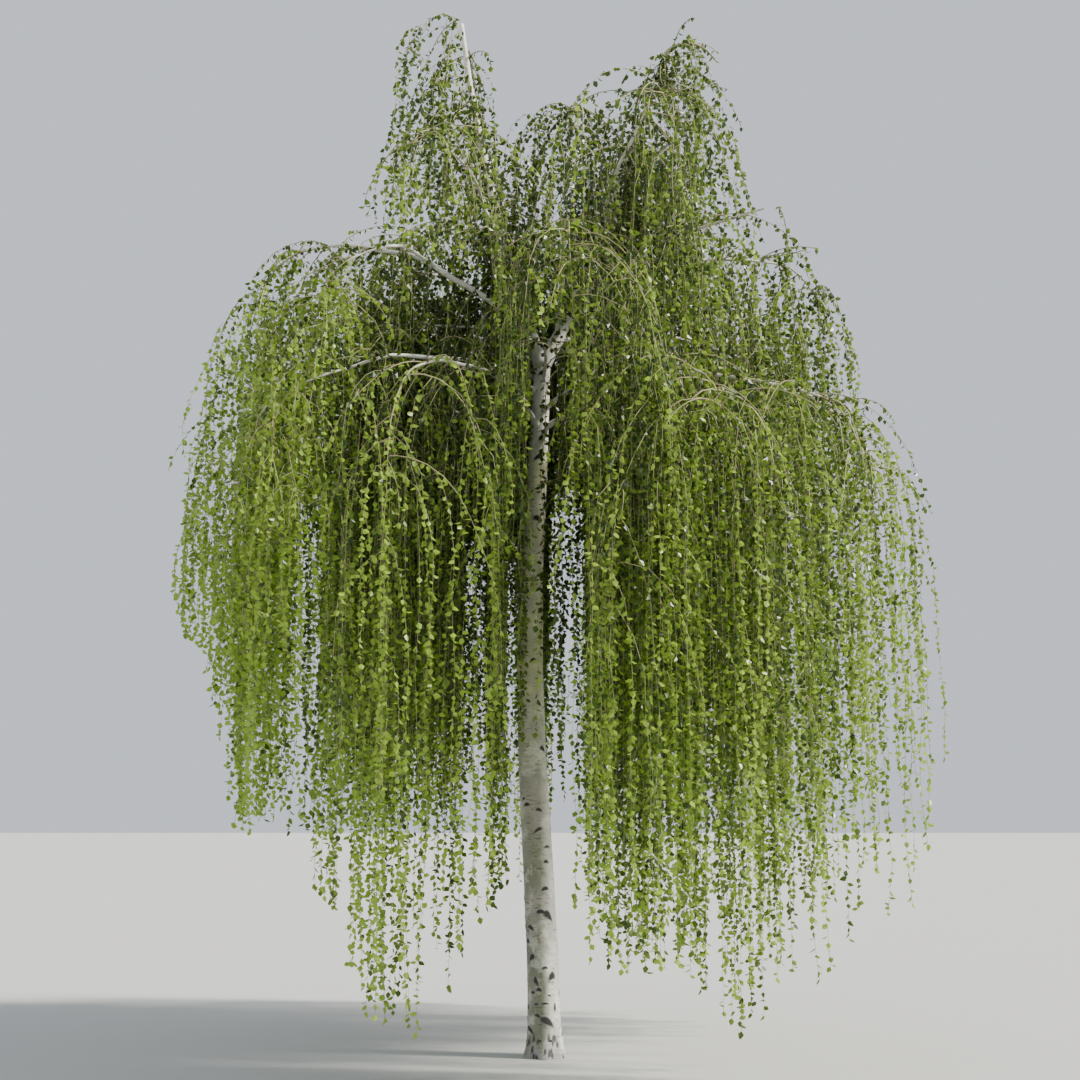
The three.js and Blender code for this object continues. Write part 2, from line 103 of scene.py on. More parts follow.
# The dark marks on the trunk that face the front: a height, a bearing from the front towards the right, a
# width and a height of the mark, and how far it slants down to the right
FRONT_MARKS = (
    (1.421, 16, 0.045, 0.022, 0.2),
    (1.304, 8, 0.055, 0.022, -0.5),
    (1.205, 42, 0.05, 0.016, 0.0),
    (1.118, 33, 0.036, 0.022, 0.1),
    (0.962, 22, 0.05, 0.026, -0.2),
    (0.83, 2, 0.058, 0.026, 0.1),
    (0.807, 28, 0.06, 0.05, 0.6),
    (0.738, -41, 0.05, 0.028, 0.4),
    (0.659, -61, 0.04, 0.03, 0.0),
    (0.568, -41, 0.045, 0.035, -0.5),
    (0.511, 8, 0.04, 0.014, 0.0),
    (0.46, 34, 0.05, 0.045, -0.3),
    (0.432, -27, 0.035, 0.045, 0.9),
    (0.387, -16, 0.04, 0.022, 0.1),
    (0.37, -41, 0.03, 0.018, 0.0),
    (0.31, 5, 0.05, 0.012, 0.0),
    (0.305, -27, 0.03, 0.015, 0.0),
    (0.285, 42, 0.02, 0.05, 0.0),
    (0.285, -70, 0.03, 0.035, 0.0),
    (0.241, -22, 0.045, 0.02, 0.3),
    (0.208, 10, 0.085, 0.045, 0.5),
    (0.158, -56, 0.06, 0.03, 0.6),
)

# The sides of the crown as seen from the front, at the trunk's depth: a height, the left and the right side
SIDE_ROWS = (
    (2.4, -2.45, 2.43),
    (3.3, -2.48, 2.43),
    (3.9, -2.42, 2.3),
    (4.4, -2.16, 2.0),
    (4.8, -1.88, 1.78),
    (5.2, -1.2, 1.5),
    (5.7, -1.05, 1.26),
    (6.45, -0.95, 1.02),
)

# The hem of the crown in the same way: a place from the left to the right, and the lowest height there
HEM_ROWS = (
    (-2.3, 2.7),
    (-2.0, 2.2),
    (-1.85, 1.3),
    (-1.5, 1.2),
    (-1.25, 0.75),
    (-1.07, 0.15),
    (-0.78, 0.02),
    (-0.63, 0.15),
    (-0.5, 0.5),
    (-0.4, 0.8),
    (-0.25, 0.85),
    (0.1, 0.6),
    (0.25, 0.45),
    (0.8, 0.5),
    (1.02, 0.25),
    (1.18, 0.08),
    (1.42, 0.08),
    (1.75, 0.2),
    (2.08, 0.5),
    (2.2, 0.95),
    (2.35, 1.6),
)

# The stretches of limbs that show at the front: a limb, the shares of its length between which it shows,
# how wide the opening is beyond its sides, and the share of the twigs in front of it that stay
LIMB_OPENINGS = (
    ("trunk", 0.4, 0.87, 0.0, 0.3),
    ("trunk", 0.87, 1.0, 0.02, 0.04),
    ("leader_right", 0.0, 0.14, 0.015, 0.12),
    ("leader_left", 0.0, 0.07, 0.015, 0.15),
    ("left_high", 0.2, 1.0, 0.02, 0.1),
    ("left_mid", 0.1, 1.0, 0.016, 0.15),
    ("left_front", 0.5, 1.0, 0.01, 0.2),
)

# The stretches of limbs that the key light reaches, in the same way, as seen from the light
LIGHT_OPENINGS = (
    ("trunk", 0.88, 1.0, 0.0, 0.06),
    ("leader_right", 0.0, 0.06, 0.0, 0.1),
)

# The openings between strands as seen from the front, at the trunk's depth: how far the middle lies to
# the right of the trunk's foot, its height, the half width, the half height, and the share of the twigs
# there that stay
SKY_OPENINGS = (
    (-1.44, 2.75, 0.1, 0.5, 0.15),
    (-1.5, 1.9, 0.1, 0.4, 0.5),
    (-1.95, 3.7, 0.07, 0.3, 0.4),
    (-0.42, 2.8, 0.08, 0.22, 0.12),
    (-0.2, 2.8, 0.05, 0.2, 0.12),
    (0.15, 2.95, 0.12, 0.4, 0.04),
    (1.53, 3.05, 0.07, 0.3, 0.3),
    (1.85, 2.6, 0.1, 0.5, 0.3),
    (1.0, 5.95, 0.7, 0.4, 0.15),
    (1.2, 5.4, 0.3, 0.6, 0.45),
    (-0.45, 5.8, 0.15, 0.45, 0.25),
    (2.05, 2.3, 0.2, 1.6, 0.2),
)

# How twigs leave their parents, each from least to most: the angle to the parent and the rise in degrees,
# the bend length, and the length as a share of the way down to the foliage's lowest end there
SIDE_TWIGS = {"angle": (15, 125), "rise": (-10, 50), "bend": (0.12, 0.62), "length": (0.45, 1.05)}
STRANDS = {"angle": (10, 170), "rise": (-60, 40), "bend": (0.05, 0.3), "length": (0.4, 1.08)}

# The shares of a parent's length over which twigs leave it: limbs, the stems' side twigs, and the strands
LIMB_STRETCH = (0.18, 1.0)
STEM_STRETCH = 0.2
STRAND_STRETCH = 0.65

# How a twig is fitted: moves of its line on trial, then rounds and the share of its length that a round
# leaves, first for the crown's room and then for the openings
TRIAL_MOVES = 12
FIT_ROUNDS = 18
FIT_SHARE = 0.9
CUT_ROUNDS = 3
CUT_SHARE = 0.5

# No twig comes nearer to the ground, or in the picture to the bare part of the trunk
LOWEST_TWIG = 0.15
BARE_MARGIN = 0.03

# Places on a limb that twigs are held against, for the openings and for clearance, and how far behind the
# limb's middle a twig still counts as before it
OPENING_PLACES = 32
CLEAR_PLACES = 20
BEHIND = 0.02

# How far a stem starts inside its limb, the least way down that a twig is given before it is fitted, and the
# moves of a parent's line while twigs are placed on it
STEM_OVERLAP = 0.01
LEAST_DROP = 0.3
PARENT_MOVES = 30

# Sizes of leaves as shares of the largest, their lean outwards in degrees and their twist in radians
LEAF_SIZES = (0.65, 1.0)
LEAF_LEAN = (8, 85)
LEAF_TWIST = 1.1

# The outline of a leaf as shares of its length and of its half width: how high it is widest, and how wide
# and how high its shoulder is
LEAF_WIDEST = 0.36
LEAF_SHOULDER = (0.62, 0.74)

# How much each cause adds to the tone of a spray: chance for its twig, waves over the crown's plan, how
# far out the twig starts, as painted shade on the inner leaves, how far to the left it starts, as painted
# light on the side away from the key light, its place on the twig, and chance for itself
TONE_SHARES = {"twig": 0.35, "wave": 0.2, "out": 0.2, "left": 0.05, "tip": 0.15, "spray": 0.25}
TONE_POWER = 2.2

# Cells of chance along and round the trunk, for its broad lumps and its fine ridges
LUMP_CELLS = (18, 5)
RIDGE_CELLS = (420, 6)

# Rings and sides of the bark's tubes. Moves of the twigs' lines and sides of their tubes
TRUNK_GRID = (540, 104)
LEADER_GRID = (90, 24)
BOUGH_GRID = (60, 14)
STEM_GRID = (15, 5)
STRAND_GRID = (7, 3)

UP = np.array((0.0, 0.0, 1.0))
TO_THE_FRONT = np.array((0.0, -1.0, 0.0))
BARK_SEED = 11
KINK_SEED = 17
TWIG_SEED = 23
WAVE_SEED = 29
LEAF_SEED = 37
GOLDEN_ANGLE = math.radians(137.5)

# Above one, the rings of the trunk and the places along a twig's line crowd towards the root
ROOT_CROWDING = 1.5


# Sizes and colours


def metres(name, description, default):
    return FloatProperty(name=name, description=description, default=default, unit="LENGTH")


def degrees(name, description, default):
    turn = math.radians(default)
    return FloatProperty(name=name, description=description, default=turn, subtype="ANGLE")


def number(name, description, default):
    return FloatProperty(name=name, description=description, default=default)


def whole_number(name, description, default):
    return IntProperty(name=name, description=description, default=default)


def tint(name, description, default):
    return FloatVectorProperty(name=name, description=description, default=default, subtype="COLOR")


def spot(name, description, default):
    """A place or a way, in metres along as many axes as its default has."""
    return FloatVectorProperty(
        name=name, description=description, default=default, size=len(default), subtype="XYZ"
    )


class BirchTrunk(bpy.types.PropertyGroup):
    """Sizes of the trunk, which repeat the frame's own, and of the limbs."""

    fork_height: metres("Fork height", "Where the trunk divides", TRUNK_TOP)
    foot_radius: metres("Foot radius", "Above the flare", 0.094)
    fork_radius: metres("Fork radius", "At the top", 0.05)
    taper_power: number("Taper power", "Above one, the taper gathers towards the top", 1.7)
    bow: metres("Bow", "To the left", 0.085)
    bow_span: metres("Bow span", "Height of one full bow", 4.7)
    sway: metres("Sway", "To the back", 0.03)
    flare: metres("Flare", "At the ground", 0.024)
    flare_height: metres("Flare height", "Where a third of it is left", 0.11)
    buttresses: whole_number("Buttresses", "Ridges round the foot", 5)
    buttress_swell: number("Buttress swell", "As a share of the radius", 0.14)
    kinks: whole_number("Kinks", "Along each limb", 5)
    kink: metres("Kink", "How far a kink moves a limb aside", 0.02)
    tip_share: number("Tip share", "Radius of a limb's tip, as a share of its foot's", 0.34)


class BirchBark(bpy.types.PropertyGroup):
    """Relief and colours of the bark."""

    lumps: metres("Lumps", "Height of the broad swellings", 0.003)
    rings: metres("Rings", "Height of the fine level ridges", 0.0006)
    mark_rise: metres("Mark rise", "How far a dark mark stands out", 0.002)
    cracks: whole_number("Cracks", "Upright ones at the foot", 55)
    crack_top: metres("Crack top", "Height of the highest crack", 0.14)
    crack_depth: metres("Crack depth", "At the middle of a crack", 0.005)
    rough_height: metres("Rough height", "Where a third of the foot's rough bark is left", 0.1)
    collar: number("Collar", "Swelling where a limb leaves its parent", 0.3)
    scattered_marks: whole_number("Scattered marks", "Dark marks besides those at the front", 130)
    white: tint("White", "Clean bark", (0.88, 0.87, 0.78))
    # The dull colour is painted shade, laid on the trunk's left and more and more towards the ground
    dull: tint("Dull", "Weathered bark near the ground", (0.2, 0.215, 0.14))
    green: tint("Green", "Film of algae at half height", (0.74, 0.8, 0.36))
    cream: tint("Cream", "Warm patches", (0.56, 0.5, 0.41))
    grey: tint("Grey", "Cool patches", (0.33, 0.31, 0.33))
    black: tint("Black", "Marks and cracks", (0.034, 0.03, 0.025))
    foot: tint("Foot", "Rough bark at the foot", (0.36, 0.34, 0.38))
    bump: metres("Bump", "Height of the finest ridges", 0.003)
    young: tint("Young", "Bark of thin limbs", (0.42, 0.37, 0.24))


class BirchTwigs(bpy.types.PropertyGroup):
    """The rule by which twigs grow."""

    side_twigs: whole_number("Side twigs", "That leave each stem", 11)
    twigs_per_metre: number("Twigs per metre", "That leave the leaders and boughs", 9.5)
    strands_per_metre: number("Strands per metre", "Finest twigs, that leave the others", 5.0)
    side_radius: metres("Side twig radius", "At the root", 0.0044)
    strand_radius: metres("Strand radius", "At the root", 0.0017)
    tip_radius: metres("Tip radius", "Of all twigs", 0.0009)
    thinning: metres("Thinning", "Length over which a twig thins to a third", 0.4)
    shortest: metres("Shortest twig", "Shorter ones are dropped", 0.12)
    clearance: metres("Clearance", "From twigs to limbs", 0.01)
    centre: spot("Centre", "Of the crown's plan", (0.05, 0.1))
    reach: spot("Reach", "Half widths of the crown's plan", (2.37, 2.3))
    feather: number("Feather", "Least share of the way to the crown's sides that a twig may go", 0.93)
    wedge: spot("Wedge", "Foot of the sky between the tops", (-0.27, 5.7))
    wedge_left: number("Wedge left", "Its width for its height", 0.15)
    wedge_right: number("Wedge right", "Its width for its height", 0.6)
    top: metres("Top", "Of the highest twigs", 6.45)
    bare_below: metres("Bare below", "No twigs hang before the trunk below this", 1.6)
    waviness: metres("Waviness", "How far a strand wanders", 0.016)
    brown: tint("Brown", "Older twigs", (0.24, 0.18, 0.1))
    olive: tint("Olive", "Youngest twigs", (0.42, 0.41, 0.2))


class BirchLeaves(bpy.types.PropertyGroup):
    """Sizes and colours of the leaves."""

    length: metres("Leaf length", "Of a large leaf, with its foot", 0.043)
    width: number("Leaf width", "As a share of the length", 0.8)
    fold: number("Fold", "How far the halves rise", 0.25)
    spray_pitch: metres("Spray pitch", "Between sprays on a twig", 0.064)
    tones: whole_number("Tones", "How many the leaves are dealt into", 6)
    darkest: tint("Darkest", "Shaded leaves", (0.006, 0.026, 0.004))
    lightest: tint("Lightest", "Young leaves", (0.37, 0.55, 0.065))


class BirchStudio(bpy.types.PropertyGroup):
    """The camera's place and the light."""

    distance: metres("Distance", "From the trunk to the camera", 10.0)
    eye_height: metres("Eye height", "Of the camera", 1.5)
    aside: metres("Aside", "Camera's place to the right", -0.026)
    tilt: degrees("Tilt", "How far it looks up", 8.81)
    view_angle: degrees("View angle", "Of the whole width", 36.14)
    sun: number("Key light", "Its strength", 7.6)
    sun_width: degrees("Key width", "The wider, the softer", 5)
    sun_from: spot("Key side", "Where the key light comes from", (0.85, -0.15, 0.9))
    sun_colour: tint("Key colour", "Of the key light", (1.0, 0.96, 0.88))
    sky: number("Soft light", "From all round", 0.85)
    sky_colour: tint("Soft colour", "Of the soft light", (0.86, 0.91, 1.0))
    floor_reach: metres("Floor reach", "From its middle to its sides", 60.0)
    floor: tint("Floor", "Its colour", (0.52, 0.52, 0.5))


GROUPS = {
    "birch_trunk": BirchTrunk,
    "birch_bark": BirchBark,
    "birch_twigs": BirchTwigs,
    "birch_leaves": BirchLeaves,
    "birch_studio": BirchStudio,
}


# Lines of the limbs

Limb = namedtuple("Limb", "name place radius bend hang")


def trunk_line(trunk):
    """The trunk's middle at shares of its height: to the left by a bow times the square of a sine of the
    height, and to the back by a sway times a sine of twice that angle."""

    def place(share):
        z = np.asarray(share) * trunk.fork_height
        turn = np.pi * z / trunk.bow_span
        return np.stack((-trunk.bow * np.sin(turn) ** 2, trunk.sway * np.sin(2 * turn), z), axis=-1)

    return place


def trunk_radius(trunk):
    """From the foot's radius to the fork's by a power of the height, plus a flare that dies upwards."""

    def radius(share):
        flare = trunk.flare * np.exp(-share * trunk.fork_height / trunk.flare_height)
        change = trunk.fork_radius - trunk.foot_radius
        return trunk.foot_radius + change * share**trunk.taper_power + flare

    return radius


def arch_line(start, end, arch, kinks):
    """A parabola between two points, which stands over the middle of the straight line by the arch, with
    small kinks: moves aside at even places along it, joined by straight lines."""
    knots = np.linspace(0, 1, len(kinks))

    def place(share):
        t = np.asarray(share)[..., None]
        aside = np.stack([np.interp(share, knots, kinks[:, axis]) for axis in range(3)], axis=-1)
        return (1 - t) * start + t * end + 4 * arch * t * (1 - t) * UP + aside

    return place


def taper(radius, tip_share):
    """Evenly from the foot's radius down to a share of it at the tip."""
    return lambda share: radius * (1 - (1 - tip_share) * np.asarray(share))


def plan_limbs(trunk):
    """The trunk, then every leader and bough, by name."""
    rng = np.random.default_rng(KINK_SEED)
    limbs = {"trunk": Limb("trunk", trunk_line(trunk), trunk_radius(trunk), 0.0, 0.0)}
    for name, parent, at, tip, arch, radius, bend, hang in LIMB_ROWS:
        kinks = trunk.kink * rng.uniform(-1, 1, (trunk.kinks + 2, 3))
        kinks[[0, -1]] = 0
        line = arch_line(limbs[parent].place(at), np.array(tip), arch, kinks)
        limbs[name] = Limb(name, line, taper(radius, trunk.tip_share), bend, hang)
    return limbs


def headings(limb, share):
    """Unit vectors along a limb: the way from a little before each place to a little after it."""
    step = 1e-3
    along = limb.place(np.asarray(share) + step) - limb.place(np.asarray(share) - step)
    return unit(along)


def unit(vectors):
    return vectors / np.linalg.norm(vectors, axis=-1, keepdims=True)


# Meshes from arrays


def put_mesh(name, points, faces, smooth):
    """One mesh object from arrays of points and three-cornered faces."""
    mesh = bpy.data.meshes.new(name)
    mesh.vertices.add(len(points))
    mesh.vertices.foreach_set("co", np.ascontiguousarray(points, np.float32).ravel())
    mesh.loops.add(faces.size)
    mesh.loops.foreach_set("vertex_index", np.ascontiguousarray(faces, np.int32).ravel())
    mesh.polygons.add(len(faces))
    mesh.polygons.foreach_set("loop_start", np.arange(0, faces.size, 3, dtype=np.int32))
    mesh.polygons.foreach_set("use_smooth", np.full(len(faces), smooth))
    mesh.update(calc_edges=True)
    if mesh.validate():
        raise RuntimeError(f"{name} has broken faces")
    piece = bpy.data.objects.new(name, mesh)
    bpy.context.scene.collection.objects.link(piece)
    return piece


def add_attribute(piece, name, values):
    """A number at each point of a mesh, for its material to read."""
    attribute = piece.data.attributes.new(name, "FLOAT", "POINT")
    attribute.data.foreach_set("value", np.ascontiguousarray(values, np.float32).ravel())


def finish_piece(piece, material, nodes):
    """Gives a piece its material, hangs it under the root body, and hides the nodes of the frame that it
    stands for.
    """
    piece.data.materials.append(material)
    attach(piece, "root")
    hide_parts(*nodes)


def tube_faces(rings, sides):
    """Faces of a tube, as corners counted ring by ring, then the middles of its first and last ring. Two
    three-cornered faces fill each place between a ring and the next, and a fan closes each end."""
    ring, side = np.meshgrid(np.arange(rings - 1), np.arange(sides), indexing="ij")
    here = (ring * sides + side).ravel()
    beside = (ring * sides + (side + 1) % sides).ravel()
    low = np.stack((here, beside, beside + sides), axis=-1)
    high = np.stack((here, beside + sides, here + sides), axis=-1)
    around = np.arange(sides)
    after = (around + 1) % sides
    last = (rings - 1) * sides
    foot = np.stack((np.full(sides, rings * sides), after, around), axis=-1)
    top = np.stack((np.full(sides, rings * sides + 1), last + around, last + after), axis=-1)
    return np.concatenate((low, high, foot, top))


def tube_mesh(grid):
    """Points and faces of many closed tubes at once. The grid runs over tubes, rings and sides."""
    count, rings, sides = grid.shape[:3]
    middles = grid[:, (0, -1)].mean(axis=2)
    points = np.concatenate((grid.reshape(count, -1, 3), middles), axis=1)
    faces = tube_faces(rings, sides)[None] + (points.shape[1] * np.arange(count))[:, None, None]
    return points.reshape(-1, 3), faces.reshape(-1, 3)


def with_middles(field):
    """A field over the rings and sides of one tube, and its means at the middles of the two ends."""
    return np.concatenate((field.ravel(), field[(0, -1),].mean(axis=1)))


# Bark


def soft_step(share):
    """Smooth from 0 at 0 to 1 at 1."""
    held = np.clip(share, 0, 1)
    return held * held * (3 - 2 * held)


def chance_field(rng, rings, sides, cells):
    """Smooth chance heights from -1 to 1 over a grid of rings and sides that closes round the limb:
    chance numbers at the corners of cells, joined between corners by soft steps. cells counts them along
    and round."""
    along, around = cells
    corners = rng.uniform(-1, 1, (along + 2, around))
    u = np.linspace(0, along, rings)[:, None]
    v = np.linspace(0, around, sides, endpoint=False)[None]
    i, j = np.floor(u).astype(int), np.floor(v).astype(int)
    p, q = soft_step(u - i), soft_step(v - j)
    k = (j + 1) % around
    low = corners[i, j] * (1 - q) + corners[i, k] * q
    high = corners[i + 1, j] * (1 - q) + corners[i + 1, k] * q
    return low * (1 - p) + high * p


def mark_field(marks, height, angle, radius):
    """How near each place lies to the middle of a dark mark: 1 less half the squares of the ways out
    aside and up as shares of the mark's own half width and half height, and never less than 0. So it is a
    half at the edge. A mark is a brow, whose ends hang, and it slants down to the right."""
    field = np.zeros(np.broadcast_shapes(height.shape, angle.shape))
    for level, bearing, width, tall, slant in marks:
        aside = (angle - np.radians(bearing - 90) + np.pi) % (2 * np.pi) - np.pi
        across = aside * radius
        out = across / (width / 2)
        up = (height - level + slant * across) / (tall / 2) + 0.8 * out**2 - 0.3
        field = np.maximum(field, 1 - (out**2 + up**2) / 2)
    return field


def scatter_marks(rng, count, low, high):
    """Marks at chance places, which get rarer from one height on the trunk to another. All but the
    narrowest keep off the front below the foliage, where the marks have places of their own."""
    levels = low + (high - low) * rng.uniform(0, 1, count) ** 2.4
    bearings = rng.uniform(-180, 180, count)
    widths = rng.uniform(0.02, 0.06, count)
    talls = widths * rng.uniform(0.25, 0.7, count)
    slants = rng.uniform(-0.5, 0.5, count)
    kept = (levels > FRONT_MARKS[0][0] + 0.03) | (np.abs(bearings) > 75) | (widths < 0.027)
    return list(zip(*(values[kept] for values in (levels, bearings, widths, talls, slants))))


def foot_cracks(rng, count, top):
    """Narrow upright cracks, which crowd towards the ground."""
    levels = top * rng.uniform(0, 1, count) ** 1.5
    bearings = rng.uniform(-180, 180, count)
    widths = rng.uniform(0.012, 0.028, count)
    talls = rng.uniform(0.025, 0.06, count)
    slants = rng.uniform(-1.0, 1.0, count)
    return list(zip(levels, bearings, widths, talls, slants))


def brow_marks(limbs):
    """A dark brow over the root of each bough that leaves the trunk."""
    marks = []
    for name, parent, at, *_ in LIMB_ROWS:
        if parent != "trunk" or at == 1:
            continue
        root, way = limbs[name].place(0.0), headings(limbs[name], 0.02)
        bearing = math.degrees(math.atan2(way[1], way[0])) + 90
        radius = limbs[name].radius(0.0)
        marks.append((root[2] + 1.1 * radius, bearing, 3 * radius, 1.2 * radius, 0.0))
    return marks


def make_trunk(settings, bark):
    """Level rings round the trunk's line. The radius is the plain one, swelled by buttresses in the
    flare, plus broad lumps, fine level ridges and raised marks, less the cracks at the foot."""
    rng = np.random.default_rng(BARK_SEED)
    limbs = plan_limbs(settings)
    rings, sides = TRUNK_GRID
    share = np.linspace(0, 1, rings) ** ROOT_CROWDING
    height = (share * settings.fork_height)[:, None]
    angle = np.linspace(0, 2 * np.pi, sides, endpoint=False)[None]
    radius = limbs["trunk"].radius(share)[:, None]
    flare = np.exp(-height / settings.flare_height)
    swell = 1 + settings.buttress_swell * np.cos(settings.buttresses * (angle + np.pi / 2)) * flare
    scattered = scatter_marks(rng, bark.scattered_marks, 0.1, settings.fork_height - 0.05)
    marks = mark_field([*FRONT_MARKS, *scattered, *brow_marks(limbs)], height, angle, radius)
    rough = np.exp(-height / bark.rough_height) * np.ones_like(angle)
    cracks = mark_field(foot_cracks(rng, bark.cracks, bark.crack_top), height, angle, radius)
    lumps = bark.lumps * chance_field(rng, rings, sides, LUMP_CELLS)
    ridges = bark.rings * chance_field(rng, rings, sides, RIDGE_CELLS)
    relief = lumps + ridges + bark.mark_rise * soft_step(marks) - bark.crack_depth * soft_step(cracks)
    middle = limbs["trunk"].place(share)[:, None]
    outwards = np.stack((np.cos(angle), np.sin(angle), np.zeros_like(angle)), axis=-1)
    points, faces = tube_mesh((middle + (radius * swell + relief)[..., None] * outwards)[None])
    piece = put_mesh("trunk_bark", points, faces, smooth=True)
    add_attribute(piece, "mark", with_middles(marks))
    add_attribute(piece, "crack", with_middles(cracks))
    add_attribute(piece, "rough", with_middles(rough))
    return piece


def limb_grid(limb, bark, rings, sides, rng):
    """Rings square to a limb's line. The radius is the plain one, swelled by a collar that dies away over
    three radii from the root, plus lumps that grow with the radius. Also gives the full radius."""
    share = np.linspace(0, 1, rings)
    middle = limb.place(share)
    along = headings(limb, share)
    radius = limb.radius(share)[:, None]
    walked = np.linalg.norm(middle - middle[0], axis=-1)[:, None]
    collar = 1 + bark.collar * np.exp(-walked / (3 * limb.radius(0.0)))
    lumps = 1 + 0.09 * chance_field(rng, rings, sides, (rings // 3, 3))
    angle = np.linspace(0, 2 * np.pi, sides, endpoint=False)[None, :, None]
    across = unit(np.cross(UP, along[-1] + along[0]))
    over = unit(np.cross(along, across))[:, None]
    outwards = np.cos(angle) * across + np.sin(angle) * over
    full = radius * collar * lumps
    return middle[:, None] + full[..., None] * outwards, full


def make_limbs(name, names, limbs, bark, counts):
    """Several limbs in one piece, with a number at each point that tells how thick the limb is there, and
    one for the dark marks on it."""
    rings, sides = counts
    rng = np.random.default_rng(BARK_SEED + len(names))
    made = [limb_grid(limbs[limb], bark, rings, sides, rng) for limb in names]
    points, faces = tube_mesh(np.stack([grid for grid, _ in made]))
    piece = put_mesh(name, points, faces, smooth=True)
    add_attribute(piece, "thick", np.concatenate([with_middles(full) for _, full in made]))
    blots = [soft_step(4 * chance_field(rng, rings, sides, (rings // 2, 4)) - 2.6) for _ in names]
    add_attribute(piece, "mark", np.concatenate([with_middles(blot) for blot in blots]))
    return piece


# Twigs

Twigs = namedtuple("Twigs", "root facing rise bend length radius")


def joined(*sets):
    return Twigs(*(np.concatenate(values) for values in zip(*sets)))


def chosen(twigs, keep):
    return Twigs(*(values[keep] for values in twigs))


def level(angle):
    """Unit vectors along the ground, where 0 is to the right and a quarter turn is to the back."""
    return np.stack((np.cos(angle), np.sin(angle), np.zeros_like(angle)), axis=-1)


def twig_lines(twigs, moves):
    """The places along each twig. It leaves at its rise and leans down, by the same share over each bend
    length, until it hangs straight: the lean at a length is a quarter turn down, plus the rise and a
    quarter turn times exp(-length / bend). Moves add up to the line, and are shorter near the root."""
    marks = (np.arange(moves + 1) / moves) ** ROOT_CROWDING
    walked = (marks[1:] + marks[:-1]) / 2 * twigs.length[:, None]
    lean = (twigs.rise[:, None] + np.pi / 2) * np.exp(-walked / twigs.bend[:, None]) - np.pi / 2
    move = np.diff(marks) * twigs.length[:, None]
    start = np.zeros((len(move), 1))
    out = np.concatenate((start, np.cumsum(np.cos(lean) * move, axis=1)), axis=1)
    up = np.concatenate((start, np.cumsum(np.sin(lean) * move, axis=1)), axis=1)
    return twigs.root[:, None] + out[..., None] * level(twigs.facing)[:, None] + up[..., None] * UP


def places_on(lines, line, share):
    """Places at a share of the length of chosen lines."""
    moves = lines.shape[1] - 1
    at = moves * share ** (1 / ROOT_CROWDING)
    before = np.minimum(at.astype(int), moves - 1)
    start, end = lines[line, before], lines[line, before + 1]
    return start + (at - before)[:, None] * (end - start)


